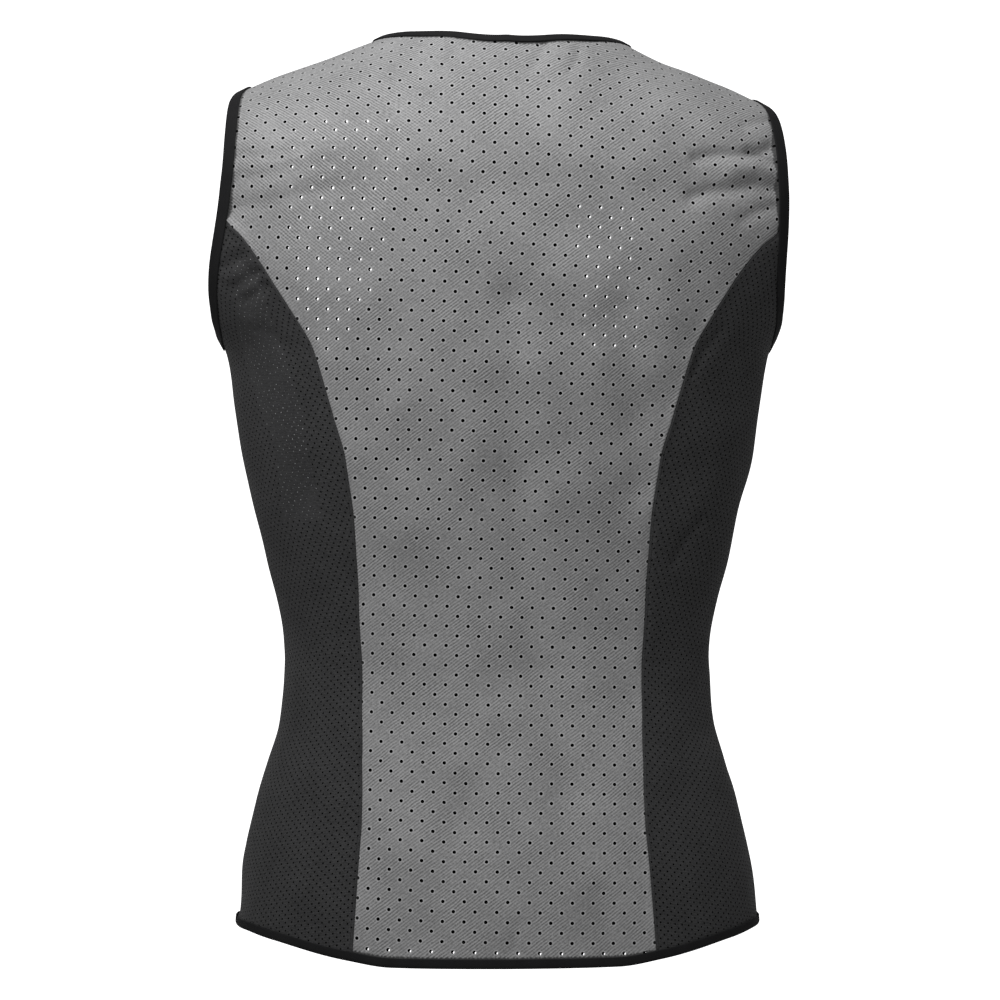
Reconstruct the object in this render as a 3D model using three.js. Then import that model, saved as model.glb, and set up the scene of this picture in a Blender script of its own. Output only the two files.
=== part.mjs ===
// Women's sleeveless cooling vest, worn shape, closed at the front with a zip.
// Millimetres, +Z up. +X is the wearer's right, +Y the wearer's front, so the back faces -Y.
// The origin lies midway between the two shoulder seams' neck ends, where the shoulders carry it.

import * as THREE from 'three';

// Garment sizes
const BACK_LENGTH = 594; // from the shoulders down to the cloth's edge at the centre of the back
const UNDERARM_DROP = 201.5; // from the shoulders down to the lowest point of each armhole
const HALF_WIDTH = 178; // half the chest's width just below the armholes
const YOKE_HALF = 216; // half-width that the shoulder sections aim for, before the armholes cut them
const BACK_DEPTH = 115; // from the side line back to the shoulder blades
const FRONT_DEPTH = 124; // from the side line forward to the bust
const SHOULDER_ROUND = 100; // height over which the back and the front round over the shoulders
const NECK_HALF = 82; // half the distance between the shoulder seams' neck ends
const NECK_BACK = 76; // how far the back neckline lies behind the side line
const NECK_DROP = 70; // how far the front neckline falls
const SHOULDER_SLOPE = 34; // fall of the shoulder seam from its neck end to its arm end
const SHOULDER_LEAN = 0.021; // the right shoulder hangs this much lower, per millimetre sideways
const SHOULDER_SHIFT = 2.9; // the shoulders sit this far to the right
const ARM_SHIFT = 3.6; // the lower halves of both armholes stand this far to the left
const LEAN_SPAN = { from: -1.3, to: -0.3 }; // where the lean sets in, shares of UNDERARM_DROP
const SHIFT_SPAN = { from: -0.95, to: -0.35 }; // where the shift sets in, shares of UNDERARM_DROP
const ARM_SHIFT_AT = { level: -0.78, spread: 0.16 }; // shares of UNDERARM_DROP
const SQUARENESS = 2.3; // exponent of the rounded sections, 2 is an ellipse

// Cloth sizes
const WALL = 2.0; // two-layer cloth of the body panels
const SEAM_GAP = 0.35; // between two panels at a seam
const TAPE = 0.8; // one fold of the binding tape
const SLOT_CLEARANCE = 0.35; // around the panel's edge inside a binding
const SLOT_DEPTH = 3.0; // how far the panel's edge sits in a binding
const ARMHOLE_BAND = 9.5; // width of the armhole bindings
const NECK_BAND = 7.0; // width of the neck binding
const HEM_BAND = 6.0; // width of the hem binding

// Zip sizes
const ZIP_WIDTH = 12; // tape
const ZIP_THICK = 1.8; // tape
const CHAIN_WIDTH = 5; // row of teeth
const CHAIN_RISE = 1.1; // teeth above the tape
const SLIDER_WIDTH = 8.5;
const SLIDER_LENGTH = 11;
const SLIDER_RISE = 3.4; // slider above the tape
const SLIDER_DROP = 9; // from the neckline down to the slider

// Numbers of steps along the edges
const SEAM_STEPS = 17;
const ARM_STEPS = 8;
const UNDERARM_STEPS = 16;
const SHOULDER_STEPS = 5;
const SEAM_CROWD = 1.25; // steps along the seams come closer towards the armholes
const BACK_NECK_STEPS = 20;
const FRONT_NECK_STEPS = 10;

const RAD = Math.PI / 180;
const zipHalf = ZIP_WIDTH / 2 + SEAM_GAP;

// Body sections. level: height, a share of BACK_LENGTH. half: half-width, a share of HALF_WIDTH.
// back and front: depths from the side line, shares of BACK_DEPTH and FRONT_DEPTH.
const SECTIONS = [
  { level: -1.08, half: 0.972, back: 1.08, front: 0.912 },
  { level: -1.01, half: 0.964, back: 1.061, front: 0.903 },
  { level: -0.968, half: 0.956, back: 1.039, front: 0.895 },
  { level: -0.931, half: 0.944, back: 1.013, front: 0.891 },
  { level: -0.887, half: 0.922, back: 0.965, front: 0.883 },
  { level: -0.842, half: 0.885, back: 0.904, front: 0.867 },
  { level: -0.798, half: 0.841, back: 0.843, front: 0.847 },
  { level: -0.753, half: 0.799, back: 0.787, front: 0.827 },
  { level: -0.709, half: 0.779, back: 0.748, front: 0.815 },
  { level: -0.687, half: 0.7765, back: 0.739, front: 0.81 },
  { level: -0.664, half: 0.782, back: 0.739, front: 0.815 },
  { level: -0.62, half: 0.807, back: 0.757, front: 0.839 },
  { level: -0.576, half: 0.846, back: 0.791, front: 0.879 },
  { level: -0.531, half: 0.885, back: 0.83, front: 0.919 },
  { level: -0.487, half: 0.922, back: 0.87, front: 0.96 },
  { level: -0.442, half: 0.95, back: 0.909, front: 0.988 },
  { level: -0.397, half: 0.972, back: 0.943, front: 1.0 },
  { level: -0.362, half: 0.988, back: 0.97, front: 0.992 },
  { level: -0.3445, half: 1.0, back: 0.978, front: 0.98 },
];

// Sections beside the armholes. level: a share of UNDERARM_DROP. half: how far the half-width
// has grown from HALF_WIDTH (0) to YOKE_HALF (1). back and front: shares of the depths.
const YOKE = [
  { level: -0.978, half: 0.097, back: 0.983, front: 0.968 },
  { level: -0.918, half: 0.303, back: 0.99, front: 0.948 },
  { level: -0.834, half: 0.541, back: 0.996, front: 0.915 },
  { level: -0.72, half: 0.768, back: 1.0, front: 0.867 },
  { level: -0.62, half: 0.905, back: 0.996, front: 0.823 },
  { level: -0.496, half: 1.0, back: 0.983, front: 0.766 },
  { level: -0.3, half: 1.0, back: 0.965, front: 0.71 },
  { level: 0.2, half: 1.0, back: 0.965, front: 0.71 },
];

// Shoulder line. reach: distance from the centre, a share of NECK_HALF inside the neck.
// rise: height, a share of NECK_BACK.
const NAPE = [
  { reach: 0, rise: 0.329 },
  { reach: 0.366, rise: 0.276 },
  { reach: 0.732, rise: 0.118 },
  { reach: 1, rise: -0.033 },
];
// reach: share of the way from NECK_HALF to YOKE_HALF. fall: share of SHOULDER_SLOPE.
const SHOULDER = [
  { reach: 0.172, fall: 0.385 },
  { reach: 0.391, fall: 0.691 },
  { reach: 0.526, fall: 0.888 },
  { reach: 0.649, fall: 1.112 },
  { reach: 0.731, fall: 1.294 },
  { reach: 1, fall: 2.06 },
];

// Armhole edge from the back's shoulder end round the underarm to the front's shoulder end.
// turn: degrees round the body from the centre of the back. level: share of UNDERARM_DROP.
const ARMHOLE = [
  { turn: 47.7, level: 0 },
  { turn: 50.1, level: -0.165 },
  { turn: 50.9, level: -0.331 },
  { turn: 51.7, level: -0.496 },
  { turn: 53.9, level: -0.62 },
  { turn: 56.9, level: -0.72 },
  { turn: 62.3, level: -0.834 },
  { turn: 69.3, level: -0.918 },
  { turn: 79.6, level: -0.978 },
  { turn: 90.2, level: -1 },
  { turn: 100.8, level: -0.978 },
  { turn: 111.4, level: -0.918 },
  { turn: 119.3, level: -0.834 },
  { turn: 125.3, level: -0.72 },
  { turn: 128.6, level: -0.62 },
  { turn: 130.6, level: -0.496 },
  { turn: 131.1, level: -0.331 },
  { turn: 131.4, level: -0.165 },
  { turn: 132.3, level: 0 },
];
const BACK_JOIN = 4; // row of ARMHOLE where the back seam ends
const FRONT_JOIN = 14; // row of ARMHOLE where the front seam ends

// Seams between the side panels and the others. level: share of BACK_LENGTH.
// back: degrees from the centre of the back. front: degrees from the centre of the front.
const SEAMS = [
  { level: -0.2103, back: 53.9, front: 51.4 },
  { level: -0.2197, back: 52.0, front: 49.9 },
  { level: -0.2288, back: 49.8, front: 48.6 },
  { level: -0.2508, back: 46.7, front: 46.2 },
  { level: -0.2727, back: 44.6, front: 44.4 },
  { level: -0.303, back: 42.6, front: 42.4 },
  { level: -0.3367, back: 41.2, front: 40.9 },
  { level: -0.38, back: 39.1, front: 39.4 },
  { level: -0.4226, back: 37.1, front: 38.0 },
  { level: -0.466, back: 35.3, front: 36.9 },
  { level: -0.51, back: 35.1, front: 36.6 },
  { level: -0.574, back: 36.3, front: 37.1 },
  { level: -0.66, back: 38.5, front: 38.4 },
  { level: -0.724, back: 38.0, front: 38.2 },
  { level: -0.788, back: 35.6, front: 36.8 },
  { level: -0.83, back: 33.7, front: 35.4 },
  { level: -0.872, back: 32.6, front: 34.6 },
  { level: -0.93, back: 32.4, front: 34.4 },
  { level: -1.01, back: 32.8, front: 34.6 },
];

// Cloth's lower edge. turn: degrees from the centre of the back. level: share of BACK_LENGTH.
const HEM = [
  { turn: 0, level: -1 },
  { turn: 24, level: -0.9995 },
  { turn: 34, level: -0.9935 },
  { turn: 55, level: -0.978 },
  { turn: 72, level: -0.9725 },
  { turn: 92, level: -0.9725 },
  { turn: 118, level: -0.977 },
  { turn: 150, level: -0.987 },
  { turn: 180, level: -0.99 },
];

// Soft valleys in the back's cloth. side: distance to the right of the centre, a share of
// HALF_WIDTH. level: share of BACK_LENGTH. depth and width: shares of WALL.
const VALLEY_DEPTH = 1.6;
const VALLEY_WIDTH = 6.5;
const VALLEYS = [
  {
    depth: 1,
    path: [
      { side: 0.02, level: -0.3 },
      { side: 0.045, level: -0.41 },
      { side: 0.078, level: -0.56 },
      { side: 0.115, level: -0.65 },
      { side: 0.168, level: -0.73 },
      { side: 0.22, level: -0.82 },
    ],
  },
  {
    depth: 0.8,
    path: [
      { side: 0.42, level: -0.31 },
      { side: 0.47, level: -0.42 },
      { side: 0.5, level: -0.49 },
    ],
  },
];

// Smooth curve through rows of numbers, without overshoot. Each row is [position, value].
function curveThrough(rows) {
  const n = rows.length;
  const step = [];
  const slope = [];
  for (let i = 0; i < n - 1; i += 1) {
    step.push(rows[i + 1][0] - rows[i][0]);
    slope.push((rows[i + 1][1] - rows[i][1]) / step[i]);
  }
  const tangent = [slope[0]];
  for (let i = 1; i < n - 1; i += 1) {
    const before = 2 * step[i] + step[i - 1];
    const after = step[i] + 2 * step[i - 1];
    const flat = slope[i - 1] * slope[i] <= 0;
    tangent.push(flat ? 0 : (before + after) / (before / slope[i - 1] + after / slope[i]));
  }
  tangent.push(slope[n - 2]);
  return (position) => {
    const q = Math.min(Math.max(position, rows[0][0]), rows[n - 1][0]);
    let k = 0;
    while (k < n - 2 && q > rows[k + 1][0]) {
      k += 1;
    }
    const s = (q - rows[k][0]) / step[k];
    const s2 = s * s;
    const s3 = s2 * s;
    return (
      (2 * s3 - 3 * s2 + 1) * rows[k][1] +
      (s3 - 2 * s2 + s) * step[k] * tangent[k] +
      (3 * s2 - 2 * s3) * rows[k + 1][1] +
      (s3 - s2) * step[k] * tangent[k + 1]
    );
  };
}

// Rows of the body sections and of the armhole sections in millimetres, from the hem up.
function sectionRows(pick) {
  const rows = SECTIONS.map((row) => [row.level * BACK_LENGTH, pick.body(row)]);
  const top = rows[rows.length - 1][0];
  for (const row of YOKE) {
    const level = row.level * UNDERARM_DROP;
    if (level > top + 2) {
      rows.push([level, pick.yoke(row)]);
    }
  }
  return rows;
}

const halfWidth = curveThrough(
  sectionRows({
    body: (row) => row.half * HALF_WIDTH,
    yoke: (row) => HALF_WIDTH + row.half * (YOKE_HALF - HALF_WIDTH),
  }),
);
const backDepth = curveThrough(
  sectionRows({ body: (row) => row.back * BACK_DEPTH, yoke: (row) => row.back * BACK_DEPTH }),
);
const frontDepth = curveThrough(
  sectionRows({ body: (row) => row.front * FRONT_DEPTH, yoke: (row) => row.front * FRONT_DEPTH }),
);
const ridgeHeight = curveThrough([
  ...NAPE.map((row) => [row.reach * NECK_HALF, row.rise * NECK_BACK]),
  ...SHOULDER.map((row) => [
    NECK_HALF + row.reach * (YOKE_HALF - NECK_HALF),
    -row.fall * SHOULDER_SLOPE,
  ]),
]);
const seamBack = curveThrough(SEAMS.map((row) => [row.level * BACK_LENGTH, row.back]).reverse());
const seamFront = curveThrough(SEAMS.map((row) => [row.level * BACK_LENGTH, row.front]).reverse());
const hemLevel = curveThrough(HEM.map((row) => [row.turn, row.level * BACK_LENGTH]));

function ease(from, to, value) {
  const s = Math.min(Math.max((value - from) / (to - from), 0), 1);
  return s * s * (3 - 2 * s);
}

// Distance in the back's plane from a point to a valley's path, in millimetres.
function distanceTo(path, x, z) {
  let best = Infinity;
  for (let i = 0; i < path.length - 1; i += 1) {
    const ax = path[i].side * HALF_WIDTH;
    const az = path[i].level * BACK_LENGTH;
    const bx = path[i + 1].side * HALF_WIDTH - ax;
    const bz = path[i + 1].level * BACK_LENGTH - az;
    const s = Math.min(Math.max(((x - ax) * bx + (z - az) * bz) / (bx * bx + bz * bz), 0), 1);
    best = Math.min(best, Math.hypot(x - ax - s * bx, z - az - s * bz));
  }
  return best;
}

function valleyDepth(x, z) {
  let depth = 0;
  for (const valley of VALLEYS) {
    const share = distanceTo(valley.path, x, z) / (VALLEY_WIDTH * WALL);
    depth += valley.depth * VALLEY_DEPTH * WALL * Math.exp(-share * share);
  }
  return depth;
}

// The body's middle surface. turn: degrees from the centre of the back, positive to the right.
// level: height in millimetres, and from -SHOULDER_ROUND to 0 the way over the shoulder's ridge.
function surface(turn, level) {
  const s = Math.sin(turn * RAD);
  const c = Math.cos(turn * RAD);
  const n = SQUARENESS;
  const radius = (Math.abs(s) ** n + Math.abs(c) ** n) ** (-1 / n);
  const base = Math.min(level, -SHOULDER_ROUND);
  const lift = Math.min(Math.max(level / SHOULDER_ROUND + 1, 0), 1) * 90 * RAD;
  const x = halfWidth(base) * radius * s;
  const depth = c >= 0 ? backDepth(base) : frontDepth(base);
  let y = -depth * radius * c * Math.cos(lift);
  const over = -SHOULDER_ROUND + (ridgeHeight(Math.abs(x)) + SHOULDER_ROUND) * Math.sin(lift);
  let z = level <= -SHOULDER_ROUND ? level : over;
  if (c > 0) {
    y += valleyDepth(x, z) * ease(0, 0.5, c);
  }
  z -= SHOULDER_LEAN * x * ease(LEAN_SPAN.from, LEAN_SPAN.to, z / UNDERARM_DROP);
  const near = (z / UNDERARM_DROP - ARM_SHIFT_AT.level) / ARM_SHIFT_AT.spread;
  const side = Math.abs(x / halfWidth(base)) ** 3;
  const shift = SHOULDER_SHIFT * ease(SHIFT_SPAN.from, SHIFT_SPAN.to, z / UNDERARM_DROP);
  return new THREE.Vector3(x + shift - ARM_SHIFT * side * Math.exp(-near * near), y, z);
}

// Outward direction of the middle surface, from small steps each way that stay on the cloth.
function outward(turn, level) {
  const low = Math.min(level, -1);
  const along = surface(turn + 0.2, level).sub(surface(turn - 0.2, level));
  const up = surface(turn, Math.min(low + 1, 0)).sub(surface(turn, low - 1));
  return along.cross(up).normalize();
}

// Turn at which the section reaches a given distance from the centre, on the back.
function turnAt(x, level) {
  const share = Math.min(Math.abs(x) / halfWidth(Math.min(level, -SHOULDER_ROUND)), 1);
  const rest = (1 - share ** SQUARENESS) ** (1 / SQUARENESS);
  return (Math.sign(x) * Math.atan2(share, rest)) / RAD;
}

function place(point) {
  return surface(point.turn, point.level);
}

// Points spaced along a curve on the body, closer towards its end when crowd is over 1.
// The curve takes 0 to 1.
function spaced(curve, steps, crowd = 1) {
  const fine = steps * 24;
  const lengths = [0];
  let last = place(curve(0));
  for (let i = 1; i <= fine; i += 1) {
    const next = place(curve(i / fine));
    lengths.push(lengths[i - 1] + next.distanceTo(last));
    last = next;
  }
  const points = [];
  let k = 0;
  for (let i = 0; i <= steps; i += 1) {
    const target = lengths[fine] * (1 - (1 - i / steps) ** crowd);
    while (k < fine - 1 && lengths[k + 1] < target) {
      k += 1;
    }
    const s = (target - lengths[k]) / (lengths[k + 1] - lengths[k]);
    points.push(curve((k + s) / fine));
  }
  return points;
}

function mirrored(points) {
  return points.map((point) => ({ turn: -point.turn, level: point.level }));
}

// Smooth armhole edge, by row number of ARMHOLE.
const armTurn = curveThrough(ARMHOLE.map((row, i) => [i, row.turn]));
const armLevel = curveThrough(ARMHOLE.map((row, i) => [i, row.level * UNDERARM_DROP]));

function armhole(row) {
  return { turn: armTurn(row), level: armLevel(row) };
}

function armholeBetween(from, to, steps) {
  return spaced((s) => armhole(from + (to - from) * s), steps);
}

// Seams and edges of the right half, each as points on the body.
const backJoin = armhole(BACK_JOIN);
const frontJoin = armhole(FRONT_JOIN);

function seamEdge(turnOf, join) {
  const low = hemLevel(turnOf(-BACK_LENGTH));
  return spaced((s) => {
    const level = low + (join.level - low) * s;
    const slip = join.turn - turnOf(join.level);
    return { turn: turnOf(level) + slip * s ** 12, level };
  }, SEAM_STEPS, SEAM_CROWD);
}

const rightBackSeam = seamEdge((level) => seamBack(level), backJoin);
const rightFrontSeam = seamEdge((level) => 180 - seamFront(level), frontJoin);
const rightBackArm = armholeBetween(BACK_JOIN, 0, ARM_STEPS);
const rightFrontArm = armholeBetween(FRONT_JOIN, ARMHOLE.length - 1, ARM_STEPS);
const rightUnderarm = armholeBetween(BACK_JOIN, FRONT_JOIN, UNDERARM_STEPS);

function neckBackPoint(angle) {
  const x = NECK_HALF * Math.cos(angle);
  const turn = turnAt(x, 0);
  const wide = surface(turn, -SHOULDER_ROUND).y;
  const share = Math.min((NECK_BACK * Math.sin(angle)) / -wide, 1);
  return { turn, level: (-SHOULDER_ROUND * (90 - Math.acos(share) / RAD)) / 90 };
}

function neckFrontPoint(angle) {
  const x = zipHalf + (NECK_HALF - zipHalf) * Math.cos(angle);
  const ridge = ridgeHeight(x);
  const fall = (ridge + NECK_DROP) * Math.sin(angle);
  const share = (ridge - fall + SHOULDER_ROUND) / (ridge + SHOULDER_ROUND);
  const over = Math.asin(Math.min(Math.max(share, 0), 1)) / RAD;
  return { turn: 180 - turnAt(x, 0), level: -SHOULDER_ROUND * (1 - over / 90) };
}

const backNeck = spaced((s) => neckBackPoint(Math.PI * s), BACK_NECK_STEPS);
const rightFrontNeck = spaced((s) => neckFrontPoint((Math.PI / 2) * s), FRONT_NECK_STEPS);

function shoulderEdge(armEnd, neckEnd) {
  const from = surface(armEnd.turn, 0).x;
  const to = surface(neckEnd.turn, 0).x;
  const front = armEnd.turn > 90;
  return spaced((s) => {
    const turn = turnAt(from + (to - from) * s, 0);
    return { turn: front ? 180 - turn : turn, level: 0 };
  }, SHOULDER_STEPS);
}

const rightBackShoulder = shoulderEdge(rightBackArm[ARM_STEPS], backNeck[0]);
const rightFrontShoulder = shoulderEdge(rightFrontArm[ARM_STEPS], rightFrontNeck[0]);

function hemEdge(from, to, steps) {
  return spaced((s) => {
    const turn = from + (to - from) * s;
    return { turn, level: hemLevel(Math.abs(turn)) };
  }, steps);
}

// A patch of the body between four edges of points, blended from opposite edges.
function patch(left, right, bottom, top) {
  const rows = left.length - 1;
  const columns = bottom.length - 1;
  const grid = [];
  for (let j = 0; j <= rows; j += 1) {
    const v = j / rows;
    const line = [];
    for (let i = 0; i <= columns; i += 1) {
      const u = i / columns;
      const blend = (key) =>
        (1 - u) * left[j][key] +
        u * right[j][key] +
        (1 - v) * bottom[i][key] +
        v * top[i][key] -
        (1 - u) * (1 - v) * bottom[0][key] -
        u * (1 - v) * bottom[columns][key] -
        (1 - u) * v * top[0][key] -
        u * v * top[columns][key];
      line.push({ turn: blend('turn'), level: Math.min(blend('level'), 0) });
    }
    grid.push(line);
  }
  return grid.map((line) =>
    line.map((point) => ({ ...point, at: place(point), out: outward(point.turn, point.level) })),
  );
}

// Moves an edge of the grid back from a seam by half the seam's gap.
// cells lists the edge's grid cells in order, each with its neighbour one step inside.
function drawBack(grid, cells) {
  const moved = cells.map(([j, i, insideJ, insideI], k) => {
    const here = grid[j][i].at;
    const [beforeJ, beforeI] = cells[Math.max(k - 1, 0)];
    const [afterJ, afterI] = cells[Math.min(k + 1, cells.length - 1)];
    const along = grid[afterJ][afterI].at.clone().sub(grid[beforeJ][beforeI].at).normalize();
    const inside = grid[insideJ][insideI].at.clone().sub(here);
    const across = grid[j][i].out.clone().cross(along).normalize();
    return here.clone().addScaledVector(across, (Math.sign(across.dot(inside)) * SEAM_GAP) / 2);
  });
  cells.forEach(([j, i], k) => {
    grid[j][i].at = moved[k];
  });
}

function columnCells(grid, column, inside, from, to) {
  const cells = [];
  for (let j = from; j <= to; j += 1) {
    cells.push([j, column, j, inside]);
  }
  return cells;
}

function rowCells(grid, row, inside, from, to) {
  const cells = [];
  for (let i = from; i <= to; i += 1) {
    cells.push([row, i, inside, i]);
  }
  return cells;
}

// Closed shell of the cloth's thickness around a grid of middle points.
function shell(grid, wall) {
  const height = grid.length;
  const columns = grid[0].length;
  const positions = [];
  const indices = [];
  for (const side of [1, -1]) {
    for (const line of grid) {
      for (const point of line) {
        const vertex = point.at.clone().addScaledVector(point.out, (side * wall) / 2);
        positions.push(vertex.x, vertex.y, vertex.z);
      }
    }
  }
  const inner = height * columns;
  const quad = (a, b, c, d) => indices.push(a, b, c, a, c, d);
  const span = (a, b) => {
    const from = grid[Math.floor(a / columns)][a % columns].at;
    return from.distanceTo(grid[Math.floor(b / columns)][b % columns].at);
  };
  for (let j = 0; j < height - 1; j += 1) {
    for (let i = 0; i < columns - 1; i += 1) {
      const a = j * columns + i;
      const b = a + 1;
      const c = b + columns;
      const d = a + columns;
      if (span(a, c) <= span(b, d)) {
        quad(a, b, c, d);
        quad(inner + a, inner + d, inner + c, inner + b);
      } else {
        quad(b, c, d, a);
        quad(inner + b, inner + a, inner + d, inner + c);
      }
    }
  }
  for (let i = 0; i < columns - 1; i += 1) {
    const top = (height - 1) * columns + i;
    quad(i + 1, i, inner + i, inner + i + 1);
    quad(top, top + 1, inner + top + 1, inner + top);
  }
  for (let j = 0; j < height - 1; j += 1) {
    const a = j * columns;
    const b = a + columns - 1;
    quad(a, a + columns, inner + a + columns, inner + a);
    quad(b + columns, b, inner + b, inner + b + columns);
  }
  return geometryOf(positions, indices);
}

function geometryOf(positions, indices) {
  const geometry = new THREE.BufferGeometry();
  geometry.setAttribute('position', new THREE.Float32BufferAttribute(positions, 3));
  geometry.setIndex(indices);
  geometry.computeVertexNormals();
  return geometry;
}

// Edge stations of a grid for a binding: the edge point, its outward direction and the way in,
// which is the mean of the two faces that meet the edge there.
function stations(grid, cells) {
  const edge = cells.map(([j, i]) => grid[j][i].at);
  const next = cells.map(([, , insideJ, insideI]) => grid[insideJ][insideI].at);
  const ways = [];
  for (let k = 0; k < cells.length - 1; k += 1) {
    const along = edge[k + 1].clone().sub(edge[k]).normalize();
    const firstIsShort = edge[k].distanceTo(next[k + 1]) <= edge[k + 1].distanceTo(next[k]);
    const way = (firstIsShort ? next[k + 1] : next[k]).clone().sub(edge[k]);
    ways.push(way.addScaledVector(along, -way.dot(along)).normalize());
  }
  return cells.map(([j, i], k) => {
    const before = ways[Math.max(k - 1, 0)];
    const after = ways[Math.min(k, ways.length - 1)];
    return {
      at: edge[k].clone(),
      out: grid[j][i].out,
      inside: before.clone().add(after).normalize(),
    };
  });
}

// Joins runs of stations end to end and makes one station of two that meet.
function joinRuns(runs, closed) {
  const line = [];
  const meet = (a, b) => ({
    at: a.at.clone().add(b.at).multiplyScalar(0.5),
    out: a.out.clone().add(b.out).normalize(),
    inside: a.inside.clone().add(b.inside).normalize(),
  });
  for (const run of runs) {
    const first = line.length > 0 ? meet(line.pop(), run[0]) : run[0];
    line.push(first, ...run.slice(1));
  }
  if (closed) {
    line[0] = meet(line.pop(), line[0]);
  }
  return line;
}

// Binding section: a folded tape with a slot for the cloth's edge.
// over: distance past the cloth's edge. rise: distance out from its middle surface.
function bindingSection(band) {
  const slot = WALL / 2 + SLOT_CLEARANCE;
  const skin = slot + TAPE;
  const reach = band - SLOT_DEPTH;
  return [
    { over: -SLOT_DEPTH, rise: slot },
    { over: SLOT_CLEARANCE, rise: slot },
    { over: SLOT_CLEARANCE, rise: -slot },
    { over: -SLOT_DEPTH, rise: -slot },
    { over: -SLOT_DEPTH, rise: -skin },
    { over: reach - TAPE, rise: -skin },
    { over: reach, rise: -skin / 2 },
    { over: reach, rise: skin / 2 },
    { over: reach - TAPE, rise: skin },
    { over: -SLOT_DEPTH, rise: skin },
  ];
}

// Solid swept along stations, with its ends closed unless it is a ring.
function sweep(line, sectionOf, closed) {
  const count = line.length;
  const positions = [];
  let size = 0;
  line.forEach((station, k) => {
    const before = closed ? line[(k + count - 1) % count] : line[Math.max(k - 1, 0)];
    const after = closed ? line[(k + 1) % count] : line[Math.min(k + 1, count - 1)];
    const along = station.along ?? after.at.clone().sub(before.at).normalize();
    const over = station.inside.clone().negate();
    over.addScaledVector(along, -over.dot(along)).normalize();
    const rise = station.out.clone();
    rise.addScaledVector(over, -rise.dot(over)).normalize();
    const section = sectionOf(station, k);
    size = section.length;
    for (const corner of section) {
      const vertex = station.at.clone();
      vertex.addScaledVector(over, corner.over).addScaledVector(rise, corner.rise);
      positions.push(vertex.x, vertex.y, vertex.z);
    }
  });
  const indices = [];
  const last = closed ? count : count - 1;
  for (let k = 0; k < last; k += 1) {
    const next = (k + 1) % count;
    for (let i = 0; i < size; i += 1) {
      const j = (i + 1) % size;
      const a = k * size + i;
      const b = k * size + j;
      const c = next * size + j;
      const d = next * size + i;
      indices.push(a, b, c, a, c, d);
    }
  }
  if (!closed) {
    const outline = sectionOf(line[0], 0).map((p) => new THREE.Vector2(p.over, p.rise));
    for (const [a, b, c] of THREE.ShapeUtils.triangulateShape(outline, [])) {
      const shift = (count - 1) * size;
      indices.push(a, c, b, shift + a, shift + b, shift + c);
    }
  }
  const geometry = geometryOf(positions, indices);
  return volumeOf(positions, indices) < 0 ? flipped(positions, indices) : geometry;
}

function volumeOf(positions, indices) {
  const a = new THREE.Vector3();
  const b = new THREE.Vector3();
  const c = new THREE.Vector3();
  let volume = 0;
  for (let i = 0; i < indices.length; i += 3) {
    a.fromArray(positions, indices[i] * 3);
    b.fromArray(positions, indices[i + 1] * 3);
    c.fromArray(positions, indices[i + 2] * 3);
    volume += a.dot(b.cross(c)) / 6;
  }
  return volume;
}

function flipped(positions, indices) {
  const turned = [];
  for (let i = 0; i < indices.length; i += 3) {
    turned.push(indices[i], indices[i + 2], indices[i + 1]);
  }
  return geometryOf(positions, turned);
}

// Back panel, from the hem up to the shoulders and the neck
const armEnd = SEAM_STEPS + ARM_STEPS;
const rows = armEnd + SHOULDER_STEPS;
const backColumns = BACK_NECK_STEPS;
const rightBackEdge = [
  ...rightBackSeam,
  ...rightBackArm.slice(1),
  ...rightBackShoulder.slice(1),
];
const leftBackEdge = mirrored(rightBackEdge);
const backTop = [...backNeck].reverse();
const backHem = hemEdge(leftBackEdge[0].turn, rightBackEdge[0].turn, backColumns);
const backGrid = patch(leftBackEdge, rightBackEdge, backHem, backTop);

// Right front panel, from its side seam and armhole to the zip
const frontColumns = FRONT_NECK_STEPS;
const rightFrontEdge = [
  ...rightFrontSeam,
  ...rightFrontArm.slice(1),
  ...rightFrontShoulder.slice(1),
];
const hemFront = hemLevel(180);
const neckFront = rightFrontNeck[FRONT_NECK_STEPS].level;
const zipBreak = -UNDERARM_DROP; // the front's rows turn level with the seams' tops here
function zipEdge(from, to, steps, crowd) {
  const points = [];
  for (let i = 0; i <= steps; i += 1) {
    const level = from + (to - from) * (1 - (1 - i / steps) ** crowd);
    points.push({ turn: 180 - turnAt(zipHalf, level), level });
  }
  return points;
}
const rightZipEdge = [
  ...zipEdge(hemFront, zipBreak, SEAM_STEPS, SEAM_CROWD),
  ...zipEdge(zipBreak, neckFront, rows - SEAM_STEPS, 1).slice(1),
];
const rightFrontHem = hemEdge(rightFrontEdge[0].turn, rightZipEdge[0].turn, frontColumns);
const rightFrontGrid = patch(rightFrontEdge, rightZipEdge, rightFrontHem, rightFrontNeck);

// Right side panel, between the two seams and under the armhole
const rightSideHem = hemEdge(rightBackSeam[0].turn, rightFrontSeam[0].turn, UNDERARM_STEPS);
const rightSideGrid = patch(rightBackSeam, rightFrontSeam, rightSideHem, rightUnderarm);

// The left half, mirrored in the turn and reversed so that its faces stay outward
function mirrorGrid(left, right, bottom, top) {
  return patch(
    mirrored(right),
    mirrored(left),
    mirrored([...bottom].reverse()),
    mirrored([...top].reverse()),
  );
}
const leftFrontGrid = mirrorGrid(rightFrontEdge, rightZipEdge, rightFrontHem, rightFrontNeck);
const leftSideGrid = mirrorGrid(rightBackSeam, rightFrontSeam, rightSideHem, rightUnderarm);

const last = (grid) => grid[0].length - 1;
const top = (grid) => grid.length - 1;

// Binding stations, taken before the seams are drawn back
const armRun = (grid, column, inside) => columnCells(grid, column, inside, SEAM_STEPS, armEnd);
const topRun = (grid) => rowCells(grid, top(grid), top(grid) - 1, 0, last(grid));

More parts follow.
